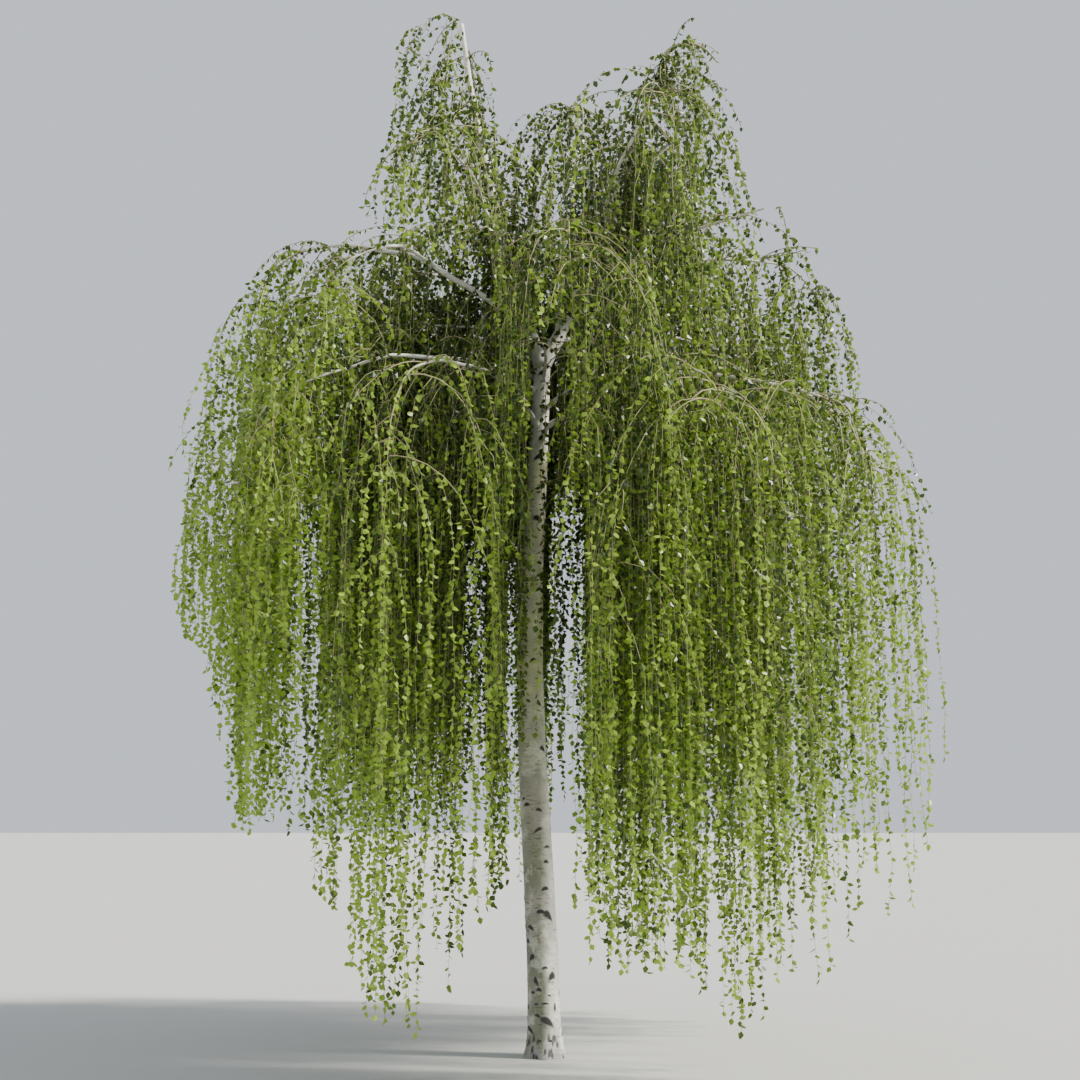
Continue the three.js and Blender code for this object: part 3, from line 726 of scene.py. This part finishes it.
class Room:
    """The room that twigs may hang in: inside the crown's reach, clear of the limbs, and out of the way
    of what shows at the front. The place of a twig's root also tells how low it may hang."""

    def __init__(self, limbs, settings, studio):
        bearing = [limb for limb in limbs.values() if limb.bend]
        self.tips = np.array([limb.place(1.0) for limb in bearing])
        self.hangs = np.array([limb.hang for limb in bearing])
        self.limbs = limbs
        self.settings = settings
        self.eye = np.array((studio.aside, -studio.distance, studio.eye_height))
        self.ray = unit(np.array(studio.sun_from))

    def hang(self, root):
        """The lowest end of the mass whose limb's tip is nearest, where heights count half."""
        apart = (root[:, None] - self.tips) * (1, 1, 0.5)
        return self.hangs[np.linalg.norm(apart, axis=-1).argmin(axis=1)]

    def within(self, lines, feather):
        """Whether each line stays in the crown, whose plan is an ellipse. As seen from the front it has
        sides, a hem, and a wedge of sky between its two tops. Feather is each line's share of the way
        out to the sides."""
        settings = self.settings
        out = (lines[..., :2] - np.array(settings.centre)) / np.array(settings.reach)
        inside = np.linalg.norm(out, axis=-1) < 1
        inside &= (lines[..., 2] > LOWEST_TWIG) & (lines[..., 2] < settings.top)
        seen = self.seen(lines)
        heights, left, right = np.array(SIDE_ROWS).T
        inside &= seen[..., 0] > feather * np.interp(seen[..., 1], heights, left)
        inside &= seen[..., 0] < feather * np.interp(seen[..., 1], heights, right)
        inside &= seen[..., 1] > np.interp(seen[..., 0], *np.array(HEM_ROWS).T)
        aside = seen[..., 0] - settings.wedge[0]
        above = seen[..., 1] - settings.wedge[1]
        wedge = (aside >= -settings.wedge_left * above) & (aside <= settings.wedge_right * above)
        inside &= (above < 0) | ~wedge
        return inside.all(axis=1)

    def seen(self, places):
        """Places as seen from the camera: each is carried along its line of sight to the trunk's plane."""
        sight = places - self.eye
        return (self.eye + sight * (-self.eye[1] / sight[..., 1:2]))[..., (0, 2)]

    def lit(self, places):
        """Places as seen from the key light: how far they lie along two axes square to its rays."""
        across = unit(np.cross(UP, self.ray))
        return np.stack((places @ across, places @ np.cross(self.ray, across)), axis=-1)

    def before(self, lines, name, low, high, margin, lit=False):
        """Whether each line, apart from its first sixth, passes in front of the stretch of a limb from
        one share of its length to another: the shortest way, as the camera or the light sees it, from
        places on the limb to the line is less than its radius and a margin."""
        limb = self.limbs[name]
        view, towards = (self.lit, self.ray) if lit else (self.seen, TO_THE_FRONT)
        share = np.linspace(low, high, OPENING_PLACES)
        places = limb.place(share)
        spots, flat = view(places), view(lines)
        reach = limb.radius(share) + margin
        passes = np.zeros(len(lines), bool)
        for move in range(lines.shape[1] // 6, lines.shape[1] - 1):
            start, way = flat[:, move, None], (flat[:, move + 1] - flat[:, move])[:, None]
            along = ((spots - start) * way).sum(axis=-1) / (way * way).sum(axis=-1)
            nearest = start + np.clip(along, 0, 1)[..., None] * way
            close = np.linalg.norm(spots - nearest, axis=-1) < reach
            nearer = (lines[:, move, None] @ towards) > places @ towards - BEHIND
            passes |= (close & nearer).any(axis=1)
        return passes

    def near(self, lines, middle, size):
        """Whether each line comes into an ellipse in the picture."""
        return (np.linalg.norm((self.seen(lines) - middle) / size, axis=-1) < 1).any(axis=1)

    def clears(self, lines):
        """Whether each line, apart from its first quarter, keeps clear of the limbs."""
        clear = np.ones(len(lines), bool)
        beyond = lines[:, lines.shape[1] // 4 :]
        share = np.linspace(0, 1, CLEAR_PLACES)
        for limb in self.limbs.values():
            for place, reach in zip(limb.place(share), limb.radius(share) + self.settings.clearance):
                clear &= (np.linalg.norm(beyond - place, axis=-1) > reach).all(axis=1)
        return clear

    def limb_openings(self):
        """For each opening in front of the limbs, for the camera or the light: whether lines cross it,
        and the share of the twigs there that stay."""
        tests = []
        for rows, lit in ((LIMB_OPENINGS, False), (LIGHT_OPENINGS, True)):
            for name, low, high, margin, share in rows:
                test = partial(self.before, name=name, low=low, high=high, margin=margin, lit=lit)
                tests.append((test, share))
        return tests

    def sky_openings(self):
        """The same for the openings between strands."""
        tests = []
        for aside, height, wide, tall, share in SKY_OPENINGS:
            test = partial(self.near, middle=(aside, height), size=(wide, tall))
            tests.append((test, share))
        return tests


def fit_twigs(twigs, room, settings, rng):
    """Makes each twig shorter by the same share until it fits its room and hangs clear of the trunk's
    bare foot, and drops those that get too short."""
    bare = settings.bare_below / TRUNK_TOP
    length = twigs.length.copy()
    feather = rng.uniform(settings.feather, 1.0, (len(length), 1))
    for _ in range(FIT_ROUNDS):
        lines = twig_lines(twigs._replace(length=length), TRIAL_MOVES)
        fits = room.within(lines, feather) & room.clears(lines)
        fits &= ~room.before(lines, "trunk", 0, bare, BARE_MARGIN)
        length = np.where(fits, length, FIT_SHARE * length)
    return chosen(twigs._replace(length=length), fits & (length > settings.shortest))


def thin_out(twigs, openings, settings, rng):
    """Cuts all but a share of the twigs that cross each opening, round by round while they cross one, and
    drops those that still do or get too short."""
    chance = rng.uniform(0, 1, len(twigs.length))

    def crossing(length):
        lines = twig_lines(twigs._replace(length=length), TRIAL_MOVES)
        return np.any([(chance > share) & test(lines) for test, share in openings], axis=0)

    length = twigs.length.copy()
    for _ in range(CUT_ROUNDS):
        length = np.where(crossing(length), CUT_SHARE * length, length)
    return chosen(twigs._replace(length=length), ~crossing(length) & (length > settings.shortest))


def stems(limbs):
    """The stem of each mass, which carries on from its limb's tip and down to the mass's lowest end."""
    bearing = [limb for limb in limbs.values() if limb.bend]
    ways = np.array([headings(limb, 1.0) for limb in bearing])
    root = np.array([limb.place(1.0) for limb in bearing]) - STEM_OVERLAP * ways
    return Twigs(
        root=root,
        facing=np.arctan2(ways[:, 1], ways[:, 0]),
        rise=np.arcsin(ways[:, 2]),
        bend=np.array([limb.bend for limb in bearing]),
        length=root[:, 2] - np.array([limb.hang for limb in bearing]),
        radius=np.array([limb.radius(1.0) for limb in bearing]),
    )


def shoots(root, facing, radius, room, rng, rule):
    """Twigs that leave their parents to either side by turns, by the solids' rule: chance angles to the
    parent, rises, bend lengths, and shares of the way down to the lowest end of the foliage there."""
    count = len(root)
    side = np.where(np.arange(count) % 2, 1, -1)
    drop = np.maximum(root[:, 2] - room.hang(root), LEAST_DROP)
    return Twigs(
        root=root,
        facing=facing + side * np.radians(rng.uniform(*rule["angle"], count)),
        rise=np.radians(rng.uniform(*rule["rise"], count)),
        bend=rng.uniform(*rule["bend"], count),
        length=drop * rng.uniform(*rule["length"], count),
        radius=np.full(count, radius),
    )


def twigs_on_limbs(limbs, per_metre, radius, room, rng):
    """Twigs that leave the leaders and boughs, but for the part of each that is nearest to its root. Some
    limbs bear more for their length."""
    roots, facings = [], []
    for limb in limbs.values():
        if not limb.bend:
            continue
        reach = np.linalg.norm(limb.place(1.0) - limb.place(0.0))
        thick = CROWDED_LIMBS.get(limb.name, 1)
        share = rng.uniform(*LIMB_STRETCH, max(int(thick * per_metre * reach), 3))
        ways = headings(limb, share)
        roots.append(limb.place(share))
        facings.append(np.arctan2(ways[:, 1], ways[:, 0]))
    return shoots(np.concatenate(roots), np.concatenate(facings), radius, room, rng, SIDE_TWIGS)


def twigs_on_twigs(parents, each, stretch, radius, room, rng, rule):
    """Twigs that leave other twigs over a stretch from the root, each parent bearing its own number."""
    parent = np.repeat(np.arange(len(parents.root)), each)
    share = stretch * rng.uniform(0.03, 1.0, len(parent))
    root = places_on(twig_lines(parents, PARENT_MOVES), parent, share)
    return shoots(root, parents.facing[parent], radius, room, rng, rule)


def grow(limbs, settings, studio):
    """All twigs: the stems with the side twigs, and the strands that hang from both."""
    rng = np.random.default_rng(TWIG_SEED)
    room = Room(limbs, settings, studio)
    main = stems(limbs)
    each = np.full(len(main.root), settings.side_twigs)
    near_tips = twigs_on_twigs(main, each, STEM_STRETCH, settings.side_radius, room, rng, SIDE_TWIGS)
    on_limbs = twigs_on_limbs(limbs, settings.twigs_per_metre, settings.side_radius, room, rng)
    sides = fit_twigs(joined(near_tips, on_limbs), room, settings, rng)
    sides = thin_out(sides, room.limb_openings(), settings, rng)
    parents = joined(fit_twigs(main, room, settings, rng), sides)
    each = rng.poisson(settings.strands_per_metre * parents.length)
    strands = twigs_on_twigs(parents, each, STRAND_STRETCH, settings.strand_radius, room, rng, STRANDS)
    strands = fit_twigs(strands, room, settings, rng)
    strands = thin_out(strands, room.limb_openings(), settings, rng)
    return parents, thin_out(strands, room.sky_openings(), settings, rng)


def wavy_lines(twigs, moves, waviness, rng):
    """The twigs' lines, with a slow wave to the sides and one to the front and back, which grow from none
    at the root."""
    lines = twig_lines(twigs, moves)
    share = ((np.arange(moves + 1) / moves) ** ROOT_CROWDING)[None]
    walked = share * twigs.length[:, None]
    for axis in (0, 1):
        start, pitch = rng.uniform(0, 2 * np.pi, (2, len(lines), 1))
        wave = np.sin(walked * (6 + pitch) + start) - np.sin(start)
        lines[..., axis] += waviness * np.sqrt(share) * wave
    return lines


def twig_tubes(lines, facing, radius, thin, thinning, sides):
    """A tube along each line. Its rings are square to the line. Its radius falls from the root's to a
    thin one, by the same share over each thinning length."""
    along = unit(np.gradient(lines, axis=1))
    across = level(facing + np.pi / 2)[:, None]
    over = unit(np.cross(along, across))
    across = np.cross(over, along)
    angle = np.linspace(0, 2 * np.pi, sides, endpoint=False)[:, None]
    outwards = np.cos(angle) * across[:, :, None] + np.sin(angle) * over[:, :, None]
    moves = np.linalg.norm(np.diff(lines, axis=1), axis=-1)
    walked = np.concatenate((np.zeros((len(lines), 1)), np.cumsum(moves, axis=1)), axis=1)
    full = thin + (radius[:, None] - thin) * np.exp(-walked / thinning)
    return tube_mesh(lines[:, :, None] + full[..., None, None] * outwards)


# Leaves


def place_leaves(twigs, settings, rng):
    """Leaves along twigs, in loose sprays of two. Gives, for each leaf, its twig's number, its place on
    the twig as a share, the way it faces round the twig, and a chance number for its spray's tone."""
    count = np.maximum((twigs.length / settings.spray_pitch).astype(int), 1)
    twig = np.repeat(np.arange(len(twigs.length)), count)
    order = np.arange(len(twig)) - np.repeat(np.cumsum(count) - count, count)
    share = (order + rng.uniform(0.2, 0.9, len(twig))) / count[twig]
    turn = rng.uniform(0, 2 * np.pi, len(twigs.length))[twig] + order * GOLDEN_ANGLE
    tone = rng.uniform(0, 1, len(twig))
    spray = np.repeat(np.arange(len(twig)), 2)
    facing = turn[spray] + np.tile((0.0, 2.7), len(twig)) + rng.uniform(-0.6, 0.6, len(spray))
    nudge = np.tile((0.0, 0.5), len(twig)) / count[twig][spray]
    return twig[spray], np.minimum(share[spray] + nudge, 1.0), facing, tone[spray]


def leaf_points(foot, facing, settings, rng):
    """Six points for each leaf. The blade is widest less than halfway up, with a wedge down to its foot
    and a short tip, and its halves are folded up along the midrib. It hangs and leans outwards."""
    count = len(foot)
    size = settings.length * rng.uniform(*LEAF_SIZES, count)[:, None, None]
    lean = np.radians(rng.uniform(*LEAF_LEAN, count))[:, None]
    twist = rng.uniform(-LEAF_TWIST, LEAF_TWIST, count)[:, None]
    out, side = level(facing), level(facing + np.pi / 2)
    along = np.sin(lean) * out - np.cos(lean) * UP
    front = np.cos(lean) * out + np.sin(lean) * UP
    across = np.cos(twist) * side + np.sin(twist) * front
    ways = np.stack((across, along, np.cross(across, along)), axis=1)
    half = settings.width / 2
    right = np.array(((half, LEAF_WIDEST), (LEAF_SHOULDER[0] * half, LEAF_SHOULDER[1])))
    left = right[::-1] * (-1, 1)
    flat = np.concatenate((((0.0, 0.0),), right, ((0.0, 1.0),), left))
    outline = np.column_stack((flat, settings.fold * np.abs(flat[:, 0])))
    return foot[:, None] + size * np.einsum("pk,nkj->npj", outline, ways)


def leaf_faces(count):
    """Four three-cornered faces for each blade, two to each side of the midrib."""
    faces = np.array(((0, 1, 2), (0, 2, 3), (0, 3, 4), (0, 4, 5)))
    return (faces[None] + (6 * np.arange(count))[:, None, None]).reshape(-1, 3)


def deal_tones(tone, classes):
    """Deals leaves out into classes of the same size, from the darkest tone to the lightest."""
    rank = np.empty(len(tone), int)
    rank[np.argsort(tone, kind="stable")] = np.arange(len(tone))
    return rank * classes // len(tone)


# Foliage as a whole


def grown_foliage(scene):
    """The stems and side twigs, and the strands, each with the lines that they follow."""
    settings = scene.birch_twigs
    rng = np.random.default_rng(WAVE_SEED)
    thick, strands = grow(plan_limbs(scene.birch_trunk), settings, scene.birch_studio)
    thick_lines = wavy_lines(thick, STEM_GRID[0], settings.waviness, rng)
    strand_lines = wavy_lines(strands, STRAND_GRID[0], settings.waviness, rng)
    return thick, thick_lines, strands, strand_lines


def make_twigs(scene):
    """Tubes for the stems and side twigs in one piece, and thinner ones for the strands in two."""
    thick, thick_lines, strands, strand_lines = grown_foliage(scene)
    thin, thinning = scene.birch_twigs.tip_radius, scene.birch_twigs.thinning
    tubes = twig_tubes(thick_lines, thick.facing, thick.radius, thin, thinning, STEM_GRID[1])
    made = [put_mesh("twigs", *tubes, smooth=True)]
    half = len(strands.root) // 2
    for name, part in (("strands_1", slice(None, half)), ("strands_2", slice(half, None))):
        facing, radius = strands.facing[part], strands.radius[part]
        tubes = twig_tubes(strand_lines[part], facing, radius, thin, thinning, STRAND_GRID[1])
        made.append(put_mesh(name, *tubes, smooth=True))
    return made


def make_leaves(scene):
    """Leaves along all twigs and strands, one piece to a tone. Young leaves near the tips are lighter.
    Painted shade darkens the inner leaves, and painted light makes those on the left lighter than those
    on the right. Slow waves give twigs side by side like tones."""
    settings = scene.birch_leaves
    rng = np.random.default_rng(LEAF_SEED)
    thick, thick_lines, strands, strand_lines = grown_foliage(scene)
    add = TONE_SHARES
    points, tones = [], []
    for twigs, lines in ((thick, thick_lines), (strands, strand_lines)):
        twig, share, facing, spray_tone = place_leaves(twigs, settings, rng)
        foot = places_on(lines, twig, share)
        points.append(leaf_points(foot, facing, settings, rng))
        x, y = twigs.root[:, 0], twigs.root[:, 1]
        wave = 0.5 + 0.5 * np.sin(9 * x + 4 * y + 2 * np.sin(5 * y - 3 * x))
        twig_tone = add["twig"] * rng.uniform(0, 1, len(x)) + add["wave"] * wave
        # Painted shade: leaves darker the nearer their twig starts to the trunk. Painted light: leaves
        # lighter the further left, away from the key light
        twig_tone = twig_tone + add["out"] * np.hypot(x, y) - add["left"] * x
        tones.append(twig_tone[twig] + add["tip"] * share + add["spray"] * spray_tone)
    points, tones = np.concatenate(points), np.concatenate(tones)
    tone = deal_tones(tones, settings.tones)
    made = []
    for k in range(settings.tones):
        blades = points[tone == k]
        faces = leaf_faces(len(blades))
        made.append(put_mesh(f"leaves_{k + 1}", blades.reshape(-1, 3), faces, smooth=False))
    return made


# Materials


class Finish:
    """A material in the making. Its methods add shader nodes and join them up."""

    def __init__(self, name):
        self.material = bpy.data.materials.new(name)
        self.material.use_nodes = True
        self.tree = self.material.node_tree
        self.shader = self.tree.nodes["Principled BSDF"]
        self.place = self.tree.nodes.new("ShaderNodeTexCoord").outputs["Object"]

    def put(self, socket, value):
        """A value, or what another node gives, goes into a socket."""
        if isinstance(value, bpy.types.NodeSocket):
            self.tree.links.new(value, socket)
        else:
            socket.default_value = value

    def node(self, kind, inputs, **options):
        made = self.tree.nodes.new(kind)
        for option, value in options.items():
            setattr(made, option, value)
        for socket, value in inputs.items():
            self.put(made.inputs[socket], value)
        return made

    def stretched(self, scale):
        """Places with each axis stretched by its own share."""
        return self.node("ShaderNodeMapping", {"Vector": self.place, "Scale": scale}).outputs["Vector"]

    def noise(self, scale, detail=3.0, place=None):
        inputs = {"Vector": place or self.place, "Scale": scale, "Detail": detail, "Roughness": 0.6}
        return self.node("ShaderNodeTexNoise", inputs).outputs["Fac"]

    def between(self, value, low, high):
        """How far a value lies from low to high, held to 0 and 1."""
        inputs = {"Value": value, "From Min": low, "From Max": high}
        return self.node("ShaderNodeMapRange", inputs, clamp=True).outputs["Result"]

    def math(self, operation, first, second):
        return self.node("ShaderNodeMath", {0: first, 1: second}, operation=operation).outputs["Value"]

    def times(self, first, second):
        return self.math("MULTIPLY", first, second)

    def ragged(self, value, scale, detail, depth):
        """A value, with noise of a scale and a depth added to it and as much taken from it."""
        around = self.math("SUBTRACT", self.noise(scale, detail), 0.5)
        return self.math("ADD", value, self.times(around, depth))

    def patches(self, scale, detail, low, high, place=None):
        """Cloudy patches: none where the noise is under low, and full where it is over high."""
        return self.between(self.noise(scale, detail, place), low, high)

    def attribute(self, name):
        return self.node("ShaderNodeAttribute", {}, attribute_name=name).outputs["Fac"]

    def mix(self, share, first, second):
        """One colour at a share of 0, and the other at 1."""
        made = self.node("ShaderNodeMix", {0: share}, data_type="RGBA")
        self.put(made.inputs[6], first)
        self.put(made.inputs[7], second)
        return made.outputs[2]

    def bump(self, height, distance):
        inputs = {"Height": height, "Distance": distance, "Strength": 1.0}
        self.put(self.shader.inputs["Normal"], self.node("ShaderNodeBump", inputs).outputs["Normal"])

    def done(self, colour, roughness):
        self.put(self.shader.inputs["Base Color"], colour)
        self.put(self.shader.inputs["Roughness"], roughness)
        return self.material


def solid_colour(colour):
    return (*colour, 1.0)


def blend_of(first, second, share):
    """The colour that lies a share of the way from one to another."""
    return solid_colour(np.array(first) * (1 - share) + np.array(second) * share)


def papery_bark(finish, bark):
    """White bark with painted shade, which deepens from 3.6 m down to 1.2 m, lies most on its left, away
    from the key light, and is broken by painted flecks of light, with a green film at half height, cream
    and grey patches and thin level dashes, as a colour and a height."""
    axes = finish.node("ShaderNodeSeparateXYZ", {"Vector": finish.place}).outputs
    height = axes["Z"]
    leaning = finish.math("ADD", axes["X"], finish.times(height, 0.02))
    leaning = finish.math("ADD", leaning, finish.times(finish.noise(7.0, 5.0), 0.12))
    # Painted shade: the dull colour lies on the left, away from the key light, and deepens from 3.6 m down
    # to 1.2 m
    shaded = finish.between(leaning, 0.1, 0.055)
    painted_shade = finish.times(finish.between(height, 3.6, 1.2), finish.between(shaded, -0.4, 1.0))
    # Painted flecks of sunlight: patches where the white shows through the painted shade
    painted_flecks = finish.times(finish.patches(9.0, 5.0, 0.5, 0.62), 0.45)
    painted_shade = finish.between(finish.math("SUBTRACT", painted_shade, painted_flecks), 0.0, 1.0)
    base = finish.mix(painted_shade, solid_colour(bark.white), solid_colour(bark.dull))
    film = finish.times(finish.between(height, 1.6, 2.3), finish.between(height, 3.8, 3.4))
    film = finish.times(film, finish.patches(3.5, 5.0, 0.3, 0.6))
    dash = finish.patches(26.0, 2.0, 0.62, 0.7, finish.stretched((1.0, 1.0, 7.0)))
    clouds = finish.patches(5.5, 5.0, 0.5, 0.72, finish.stretched((1.0, 1.0, 0.45)))
    warm = finish.patches(2.6, 3.0, 0.42, 0.66)
    layers = (
        (film, 0.85, bark.green),
        (warm, 0.5, bark.cream),
        (clouds, 0.6, bark.grey),
        (dash, 0.55, bark.black),
    )
    for share, most, colour in layers:
        base = finish.mix(finish.times(share, most), base, solid_colour(colour))
    rings = finish.noise(14.0, 4.0, finish.stretched((1.0, 1.0, 9.0)))
    return base, finish.math("SUBTRACT", rings, dash)


def blackened(finish, base, bark, low, high):
    """Dark marks with ragged edges over a colour."""
    dark = finish.between(finish.ragged(finish.attribute("mark"), 90.0, 4.0, 0.5), low, high)
    return finish.mix(dark, base, solid_colour(bark.black))


def trunk_finish(bark):
    """Papery bark with dark marks in smoky rims, and grey bark cracked with black at the foot."""
    finish = Finish("trunk_bark")
    base, height = papery_bark(finish, bark)
    rough = finish.between(finish.ragged(finish.attribute("rough"), 24.0, 6.0, 1.6), 0.35, 1.2)
    base = finish.mix(rough, base, solid_colour(bark.foot))
    crack = finish.between(finish.ragged(finish.attribute("crack"), 70.0, 4.0, 0.7), 0.35, 0.75)
    base = finish.mix(finish.times(crack, 0.85), base, solid_colour(bark.black))
    rim = finish.times(finish.between(finish.attribute("mark"), 0.0, 0.6), 0.4)
    base = finish.mix(rim, base, solid_colour(bark.grey))
    base = blackened(finish, base, bark, 0.35, 0.75)
    finish.bump(height, bark.bump)
    return finish.done(base, 0.62)


def limb_finish(name, bark):
    """Papery bark on thick limbs, which turns to smooth brown where they get thin."""
    finish = Finish(name)
    base, height = papery_bark(finish, bark)
    base = blackened(finish, base, bark, 0.45, 0.7)
    thin = finish.between(finish.ragged(finish.attribute("thick"), 9.0, 3.0, 0.006), 0.009, 0.003)
    base = finish.mix(thin, base, solid_colour(bark.young))
    finish.bump(height, bark.bump / 2)
    return finish.done(base, 0.6)


def twig_finish(name, settings):
    """Brown with olive stretches."""
    finish = Finish(name)
    share = finish.patches(3.0, 4.0, 0.35, 0.65)
    colour = finish.mix(share, solid_colour(settings.brown), solid_colour(settings.olive))
    finish.bump(finish.noise(180.0, 2.0), 0.0006)
    return finish.done(colour, 0.55)


def leaf_finish(name, settings, share):
    """A tone between the darkest and the lightest, a little uneven, with light let through the blade."""
    finish = Finish(name)
    tone = blend_of(settings.darkest, settings.lightest, share)
    dull = blend_of(settings.darkest, settings.lightest, max(share - 0.16, 0.0))
    colour = finish.mix(finish.patches(7.0, 4.0, 0.35, 0.65), tone, dull)
    material = finish.done(colour, 0.3)
    finish.put(finish.shader.inputs["Specular IOR Level"], 0.42)
    through = finish.mix(0.35, colour, solid_colour(settings.lightest))
    glow = finish.node("ShaderNodeBsdfTranslucent", {"Color": through}).outputs["BSDF"]
    both = finish.node("ShaderNodeMixShader", {0: 0.42, 1: finish.shader.outputs["BSDF"], 2: glow})
    finish.put(finish.tree.nodes["Material Output"].inputs["Surface"], both.outputs["Shader"])
    return material


def floor_finish(settings):
    finish = Finish("studio_floor")
    pale = solid_colour(settings.floor)
    worn = blend_of(settings.floor, (0.0, 0.0, 0.0), 0.04)
    return finish.done(finish.mix(finish.noise(1.5), pale, worn), 0.8)


# Operators


def node_names(start):
    """The frame's nodes whose names begin with a word."""
    return sorted(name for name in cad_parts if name.startswith(start))


class BIRCH_OT_trunk(bpy.types.Operator):
    """Make the trunk with its bark"""

    bl_idname = "birch.trunk"
    bl_label = "Trunk"

    def execute(self, context):
        scene = context.scene
        piece = make_trunk(scene.birch_trunk, scene.birch_bark)
        finish_piece(piece, trunk_finish(scene.birch_bark), ["trunk"])
        return {"FINISHED"}


class BIRCH_OT_leaders(bpy.types.Operator):
    """Make the two leaders that carry on from the fork"""

    bl_idname = "birch.leaders"
    bl_label = "Leaders"

    def execute(self, context):
        scene = context.scene
        limbs = plan_limbs(scene.birch_trunk)
        piece = make_limbs("leader_bark", LEADERS, limbs, scene.birch_bark, LEADER_GRID)
        finish_piece(piece, limb_finish("leader_bark", scene.birch_bark), LEADERS)
        return {"FINISHED"}


class BIRCH_OT_boughs(bpy.types.Operator):
    """Make the boughs"""

    bl_idname = "birch.boughs"
    bl_label = "Boughs"

    def execute(self, context):
        scene = context.scene
        limbs = plan_limbs(scene.birch_trunk)
        names = [name for name in limbs if name != "trunk" and name not in LEADERS]
        piece = make_limbs("bough_bark", names, limbs, scene.birch_bark, BOUGH_GRID)
        material = limb_finish("bough_bark", scene.birch_bark)
        finish_piece(piece, material, node_names("bough_"))
        return {"FINISHED"}


class BIRCH_OT_twigs(bpy.types.Operator):
    """Make the stems, the side twigs and the hanging strands"""

    bl_idname = "birch.twigs"
    bl_label = "Twigs"

    def execute(self, context):
        for piece in make_twigs(context.scene):
            material = twig_finish(piece.name, context.scene.birch_twigs)
            finish_piece(piece, material, node_names("foliage_"))
        return {"FINISHED"}


class BIRCH_OT_leaves(bpy.types.Operator):
    """Make the leaves, one piece to a tone"""

    bl_idname = "birch.leaves"
    bl_label = "Leaves"

    def execute(self, context):
        settings = context.scene.birch_leaves
        for k, piece in enumerate(make_leaves(context.scene)):
            share = (k / (settings.tones - 1)) ** TONE_POWER
            material = leaf_finish(piece.name, settings, share)
            finish_piece(piece, material, node_names("foliage_"))
        return {"FINISHED"}


class BIRCH_OT_studio(bpy.types.Operator):
    """Set the floor, the lights and the camera"""

    bl_idname = "birch.studio"
    bl_label = "Studio"

    def execute(self, context):
        settings = context.scene.birch_studio
        reach = settings.floor_reach
        spots = np.array(((-1, -1, 0), (1, -1, 0), (1, 1, 0), (-1, 1, 0))) * reach
        floor = put_mesh("studio_floor", spots, np.array(((0, 1, 2), (0, 2, 3))), smooth=False)
        floor.data.materials.append(floor_finish(settings))
        set_lights(context.scene, settings)
        set_camera(context.scene, settings)
        return {"FINISHED"}


def set_lights(scene, settings):
    """A soft sun from the upper right, in front, and an even pale sky all round."""
    sun = bpy.data.objects.new("key_light", bpy.data.lights.new("key_light", "SUN"))
    sun.data.energy = settings.sun
    sun.data.angle = settings.sun_width
    sun.data.color = settings.sun_colour
    sun.rotation_euler = Vector(settings.sun_from).to_track_quat("Z", "Y").to_euler()
    scene.collection.objects.link(sun)
    scene.world = bpy.data.worlds.new("soft_sky")
    scene.world.use_nodes = True
    sky = scene.world.node_tree.nodes["Background"]
    sky.inputs["Color"].default_value = solid_colour(settings.sky_colour)
    sky.inputs["Strength"].default_value = settings.sky


def set_camera(scene, settings):
    camera = bpy.data.objects.new("camera", bpy.data.cameras.new("camera"))
    camera.data.sensor_fit = "HORIZONTAL"
    camera.data.angle = settings.view_angle
    camera.location = (settings.aside, -settings.distance, settings.eye_height)
    camera.rotation_euler = (math.pi / 2 + settings.tilt, 0.0, 0.0)
    scene.collection.objects.link(camera)
    scene.camera = camera


OPERATORS = (
    BIRCH_OT_trunk,
    BIRCH_OT_leaders,
    BIRCH_OT_boughs,
    BIRCH_OT_twigs,
    BIRCH_OT_leaves,
    BIRCH_OT_studio,
)


class BIRCH_PT_sidebar(bpy.types.Panel):
    """The birch's sizes and colours, and a button for each of its pieces"""

    bl_idname = "BIRCH_PT_sidebar"
    bl_label = "Weeping birch"
    bl_space_type = "VIEW_3D"
    bl_region_type = "UI"
    bl_category = "Birch"

    def draw(self, context):
        for operator in OPERATORS:
            self.layout.operator(operator.bl_idname)
        for group, kind in GROUPS.items():
            box = self.layout.box()
            box.label(text=kind.__doc__)
            for size in kind.__annotations__:
                box.prop(getattr(context.scene, group), size)


def register():
    for kind in (*GROUPS.values(), *OPERATORS, BIRCH_PT_sidebar):
        bpy.utils.register_class(kind)
    for group, kind in GROUPS.items():
        setattr(bpy.types.Scene, group, PointerProperty(type=kind))


def unregister():
    for group in GROUPS:
        delattr(bpy.types.Scene, group)
    for kind in (BIRCH_PT_sidebar, *OPERATORS, *GROUPS.values()):
        bpy.utils.unregister_class(kind)


def main():
    register()
    bpy.ops.birch.trunk()
    bpy.ops.birch.leaders()
    bpy.ops.birch.boughs()
    bpy.ops.birch.twigs()
    bpy.ops.birch.leaves()
    bpy.ops.birch.studio()
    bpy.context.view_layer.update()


if __name__ == "__main__":
    main()
